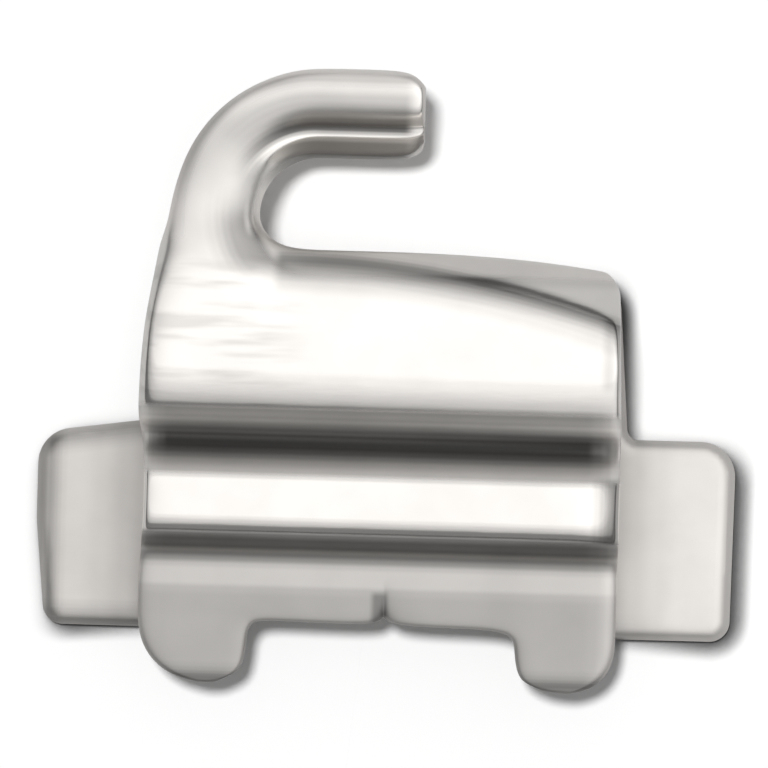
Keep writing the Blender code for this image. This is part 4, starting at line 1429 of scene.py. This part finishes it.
@dataclass
class WeldFlange:
    """The thin sheet behind the body: a flat land, and wings and a tab that curve back to the tooth."""

    node: str = "weld_flange"
    thickness: float = 0.22 * MM
    reach_at_hook: float = 3.02 * MM
    reach_at_mouth: float = 3.13 * MM
    drop: float = 1.15 * MM
    rise: float = 0.61 * MM
    slant: float = 0.07 * MM
    mouth_slant: float = 0.02 * MM
    tab_at_hook: float = 2.02 * MM
    tab_at_mouth: float = 2.17 * MM
    tab_taper: float = 0.11 * MM
    tab_rise: float = 2.05 * MM
    corner: float = 0.31 * MM
    low_corner: float = 0.18 * MM
    inner_corner: float = 0.10 * MM
    relief: float = 0.35 * MM
    relief_reach: float = 1.65 * MM
    front_roll: float = 0.15 * MM
    back_round: float = 0.04 * MM
    roll_steps: int = 7
    corner_steps: int = 12
    grain: float = 0.09 * MM
    land_length: float = 3.40 * MM
    land_top: float = 0.90 * MM
    setback: float = 0.12 * MM

    def corners(self) -> list[tuple[float, float, float]]:
        """Return the outline's corners, counter-clockwise from the lower hook-side one.

        Returns:
            X, Y and radius of each corner.
        """
        left, right = -self.reach_at_hook, self.reach_at_mouth
        low, inner = self.low_corner, self.inner_corner
        return [
            (left + 0.5 * low, -self.drop, low),
            (-self.relief_reach, -self.drop, low),
            (-self.relief_reach, -self.drop + self.relief, inner),
            (self.relief_reach, -self.drop + self.relief, inner),
            (self.relief_reach, -self.drop, low),
            (right - self.mouth_slant, -self.drop, low),
            (right, self.rise, self.corner),
            (self.tab_at_mouth, self.rise, inner),
            (self.tab_at_mouth - self.tab_taper, self.tab_rise, self.corner),
            (-self.tab_at_hook + self.tab_taper, self.tab_rise, self.corner),
            (-self.tab_at_hook, self.rise + self.slant, inner),
            (left, self.rise - self.slant, self.corner),
            (left, -0.2 * self.drop, 3 * self.corner),
        ]

    def outline(self) -> list[Vector]:
        """Return the points of the outline, whose corners are arcs.

        Returns:
            The points, counter-clockwise.
        """
        corners = self.corners()
        points = []
        for index, (x, y, radius) in enumerate(corners):
            corner = Vector((x, y))
            back = (Vector(corners[index - 1][:2]) - corner).normalized()
            ahead = (Vector(corners[(index + 1) % len(corners)][:2]) - corner).normalized()
            half = back.angle(ahead) / 2
            centre = corner + (back + ahead).normalized() * radius / math.sin(half)
            first = corner + back * radius / math.tan(half) - centre
            last = corner + ahead * radius / math.tan(half) - centre
            start = math.atan2(first.y, first.x)
            sweep = (math.atan2(last.y, last.x) - start + math.pi) % math.tau - math.pi
            for step in range(self.corner_steps + 1):
                angle = start + sweep * step / self.corner_steps
                points.append(centre + Vector((math.cos(angle), math.sin(angle))) * radius)
        return points

    def plate(self) -> bpy.types.Mesh:
        """Build the flat plate with its rolled edge, cut into small faces that can bend.

        Returns:
            The plate's mesh.
        """
        mesh = bmesh.new()
        face = mesh.faces.new([mesh.verts.new((*point, 0.0)) for point in self.outline()])
        for item in bmesh.ops.extrude_face_region(mesh, geom=[face])["geom"]:
            if isinstance(item, bmesh.types.BMVert):
                item.co.z += self.thickness
        bmesh.ops.recalc_face_normals(mesh, faces=mesh.faces)
        for height, width in ((self.thickness, self.front_roll), (0.0, self.back_round)):
            rims = [edge for edge in mesh.edges if all(abs(p.co.z - height) < 1e-9 for p in edge.verts)]
            bmesh.ops.bevel(
                mesh, geom=rims, offset=width, segments=self.roll_steps, profile=0.5, affect="EDGES"
            )
        lines = range(-int(self.reach_at_mouth / self.grain), int(self.reach_at_mouth / self.grain) + 1)
        for axis in ((1, 0, 0), (0, 1, 0)):
            for line in lines:
                everything = mesh.verts[:] + mesh.edges[:] + mesh.faces[:]
                place = Vector(axis) * line * self.grain
                bmesh.ops.bisect_plane(mesh, geom=everything, dist=1e-9, plane_co=place, plane_no=axis)
        data = bpy.data.meshes.new("flange_plate")
        mesh.to_mesh(data)
        mesh.free()
        return data

    def bend_tree(self, material: bpy.types.Material) -> bpy.types.NodeTree:
        """Build the geometry tree that curves the plate back beyond its flat land.

        Args:
            material: What the sheet's surface looks like.

        Returns:
            The tree, with named inputs for its sizes.
        """
        group = bpy.data.node_groups.new("Curved sheet", "GeometryNodeTree")
        tree = NodeTree(group)
        ports = group.interface
        ports.new_socket("Sheet", in_out="INPUT", socket_type="NodeSocketGeometry")
        for name in self.bend_sizes():
            ports.new_socket(name, in_out="INPUT", socket_type="NodeSocketFloat")
        ports.new_socket("Sheet", in_out="OUTPUT", socket_type="NodeSocketGeometry")
        source = tree.node("NodeGroupInput").outputs
        size = {name: Signal(tree, source[name]) for name in self.bend_sizes()}
        x, y, _ = tree.split(tree.node("GeometryNodeInputPosition").outputs["Position"])
        wing = (abs(x) - size["Land Half"]).at_least(0.0) / size["Wing Run"]
        tab = (y - size["Land Top"]).at_least(0.0) / size["Tab Run"]
        fall = (wing * wing + tab * tab) * size["Setback"] * -1.0
        offset = tree.node("ShaderNodeCombineXYZ", None, {"Z": fall})
        bent = tree.node("GeometryNodeSetPosition", None, {
            "Geometry": source["Sheet"],
            "Offset": offset.outputs["Vector"],
        })
        shaded = tree.node("GeometryNodeSetShadeSmooth", None, {"Geometry": bent.outputs["Geometry"]})
        real = tree.node("GeometryNodeRealizeInstances", None, {"Geometry": shaded.outputs["Geometry"]})
        dressed = tree.node("GeometryNodeSetMaterial", None, {
            "Geometry": real.outputs["Geometry"],
            "Material": material,
        })
        tree.node("NodeGroupOutput", None, {"Sheet": dressed.outputs["Geometry"]})
        return group

    def bend_sizes(self) -> dict[str, float]:
        """Return the sizes that the geometry tree takes, by the names of its inputs.

        Returns:
            The sizes.
        """
        return {
            "Land Half": self.land_length / 2,
            "Wing Run": self.reach_at_hook - self.land_length / 2,
            "Land Top": self.land_top,
            "Tab Run": self.tab_rise - self.land_top,
            "Setback": self.setback,
        }

    def build(self, finish: SteelFinish) -> bpy.types.Object:
        """Build the flange and dress it.

        Args:
            finish: What its surface looks like.

        Returns:
            The piece, which stands for the CAD node.
        """
        plan = link("flange_plan", self.plate())
        bend = plan.modifiers.new("Curved sheet", "NODES")
        bend.node_group = self.bend_tree(finish.material())
        for port in bend.node_group.interface.items_tree:
            if port.in_out == "INPUT" and port.name in self.bend_sizes():
                bend[port.identifier] = self.bend_sizes()[port.name]
        flange = link("flange", evaluated_mesh(plan, "flange"))
        bpy.data.objects.remove(plan)
        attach(flange, "root")
        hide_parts(self.node)
        report(flange)
        return flange


@dataclass
class Studio:
    """A pale card floor under a bright dome, with one soft lamp, seen from above by a long lens.

    The camera sees floor and background white, with the lamp's shadow and a painted contact shadow round the
    part. The metal sees a grey card and the dome instead.
    """

    floor_height: float = -0.13 * MM
    floor_radius: float = 500.0 * MM
    card_radius: float = 12.0
    card_fade: Window = (0.6, 1.8)
    card_greys: tuple[float, float] = (0.50, 0.12)
    # Painted contact shadow on the floor: reach, tilt, window, power and greys of its darkening.
    painted_shadow_reach: float = 0.20 * MM
    painted_shadow_tilt: Place = (-1.0, 1.0, 1.0)
    painted_shadow_window: Window = (0.38, 1.0)
    painted_shadow_power: float = 2.2
    painted_shadow_greys: tuple[float, float] = (0.10, 0.96)
    camera_focus: tuple[float, float, float] = (0.008 * MM, 1.042 * MM, 0.9 * MM)
    frame_width: float = 6.737 * MM
    lens: float = 1000.0
    sensor: float = 36.0
    roll: float = math.radians(1.6)
    lamp_direction: Place = (-0.10, 0.12, 1.0)
    lamp_strength: float = 2.5
    lamp_angle: float = math.radians(7.0)
    fill_light: float = 0.26
    dome_tilt: float = 0.20
    dome_side: float = 0.35
    dome_stops: tuple[tuple[float, float], ...] = (
        (0.0, 0.20), (0.06, 0.24), (0.14, 0.50), (0.28, 0.66), (0.50, 0.92), (0.60, 1.06), (1.0, 1.06),
    )

    def build_camera(self) -> None:
        """Place the camera at the photograph's angle."""
        data = bpy.data.cameras.new("camera")
        data.lens = self.lens
        data.sensor_width = self.sensor
        distance = self.frame_width * self.lens / self.sensor
        data.clip_start = 0.1 * distance
        data.clip_end = 10 * distance
        camera = bpy.data.objects.new("camera", data)
        bpy.context.scene.collection.objects.link(camera)
        camera.location = Vector(self.camera_focus) + Vector((0, 0, distance))
        camera.rotation_euler = (0, 0, self.roll)
        bpy.context.scene.camera = camera

    def build_floor(self) -> None:
        """Lay the floor."""
        mesh = bmesh.new()
        bmesh.ops.create_circle(mesh, cap_ends=True, segments=64, radius=self.floor_radius)
        data = bpy.data.meshes.new("floor")
        mesh.to_mesh(data)
        mesh.free()
        floor = link("floor", data)
        floor.location.z = self.floor_height
        data.materials.append(self.floor_material())

    def floor_material(self) -> bpy.types.Material:
        """Return the floor's finish: white with the lamp's shadow and a painted contact shadow from an
        occlusion node, and a card to the metal.

        Returns:
            The material.
        """
        made = bpy.data.materials.new("pale_card")
        made.use_nodes = True
        tree = NodeTree(made.node_tree)
        x, y, _ = tree.split(tree.object_millimetres())
        distance = (x * x + y * y) ** 0.5
        near, far = (share * self.card_radius for share in self.card_fade)
        card = tree.blend(distance.rise(near, far), *(grey(level) for level in self.card_greys))
        # Painted contact shadow: the floor's colour darkens where an occlusion test, tilted to the lower
        # right, finds the part near.
        tilt = tree.node("ShaderNodeVectorMath", {"operation": "NORMALIZE"}, {"Vector": self.painted_shadow_tilt})
        painted_shadow_occlusion = tree.node("ShaderNodeAmbientOcclusion", {"samples": 16}, {
            "Distance": self.painted_shadow_reach,
            "Normal": tilt.outputs["Vector"],
        })
        open_share = Signal(tree, painted_shadow_occlusion.outputs["AO"]).rise(*self.painted_shadow_window)
        # White for the camera, darkened by the painted contact shadow.
        pale = tree.blend(open_share ** self.painted_shadow_power, *(grey(level) for level in self.painted_shadow_greys))
        seen = Signal(tree, tree.node("ShaderNodeLightPath").outputs["Is Camera Ray"])
        shader = tree.node("ShaderNodeBsdfDiffuse", None, {"Color": tree.blend(seen, card, pale)})
        tree.node("ShaderNodeOutputMaterial", None, {"Surface": shader.outputs["BSDF"]})
        return made

    def build_light(self) -> None:
        """Light the studio with the dome and the lamp."""
        world = bpy.data.worlds.new("studio")
        world.use_nodes = True
        bpy.context.scene.world = world
        tree = NodeTree(world.node_tree)
        direction = tree.node("ShaderNodeTexCoord").outputs["Generated"]
        x, y, z = tree.split(direction)
        height = z + self.dome_tilt * y.at_most(0.0)
        dome = tree.node("ShaderNodeValToRGB", {"stops": self.dome_stops}, {"Fac": height}).outputs["Color"]
        path = tree.node("ShaderNodeLightPath").outputs
        sided = tree.scaled(dome, 1 + self.dome_side * x)
        soft = tree.blend(Signal(tree, path["Is Diffuse Ray"]), sided, grey(self.fill_light))
        colour = tree.blend(Signal(tree, path["Is Camera Ray"]), soft, grey(1.0))
        sky = tree.node("ShaderNodeBackground", None, {"Color": colour, "Strength": 1.0})
        tree.node("ShaderNodeOutputWorld", None, {"Surface": sky.outputs["Background"]})
        data = bpy.data.lights.new("lamp", "SUN")
        data.energy = self.lamp_strength
        data.angle = self.lamp_angle
        lamp = bpy.data.objects.new("lamp", data)
        bpy.context.scene.collection.objects.link(lamp)
        lamp.rotation_euler = Vector(self.lamp_direction).to_track_quat("Z", "Y").to_euler()
        lamp.visible_glossy = False

    def build(self) -> None:
        """Build floor, light and camera."""
        bpy.context.scene.view_settings.view_transform = "Standard"
        self.build_camera()
        self.build_floor()
        self.build_light()


CASTING = CastingFinish(
    name="polished_steel",
    colour=(0.985, 0.955, 0.92),
    roughness=0.10,
    mark_scale=(2.0, 9.0, 9.0),
    mark_depth=0.002 * MM,
)
FLANGE = FlangeFinish(
    name="satin_steel",
    colour=(0.755, 0.73, 0.70),
    roughness=0.42,
    mark_scale=(3.0, 40.0, 40.0),
    mark_depth=0.001 * MM,
)


def main() -> None:
    """Build the studio and the part, and report each piece."""
    logging.basicConfig(level=logging.INFO, format="%(name)s: %(message)s")
    Studio().build()
    TubeBody().build(CASTING)
    WeldFlange().build(FLANGE)


if __name__ == "__main__":
    main()
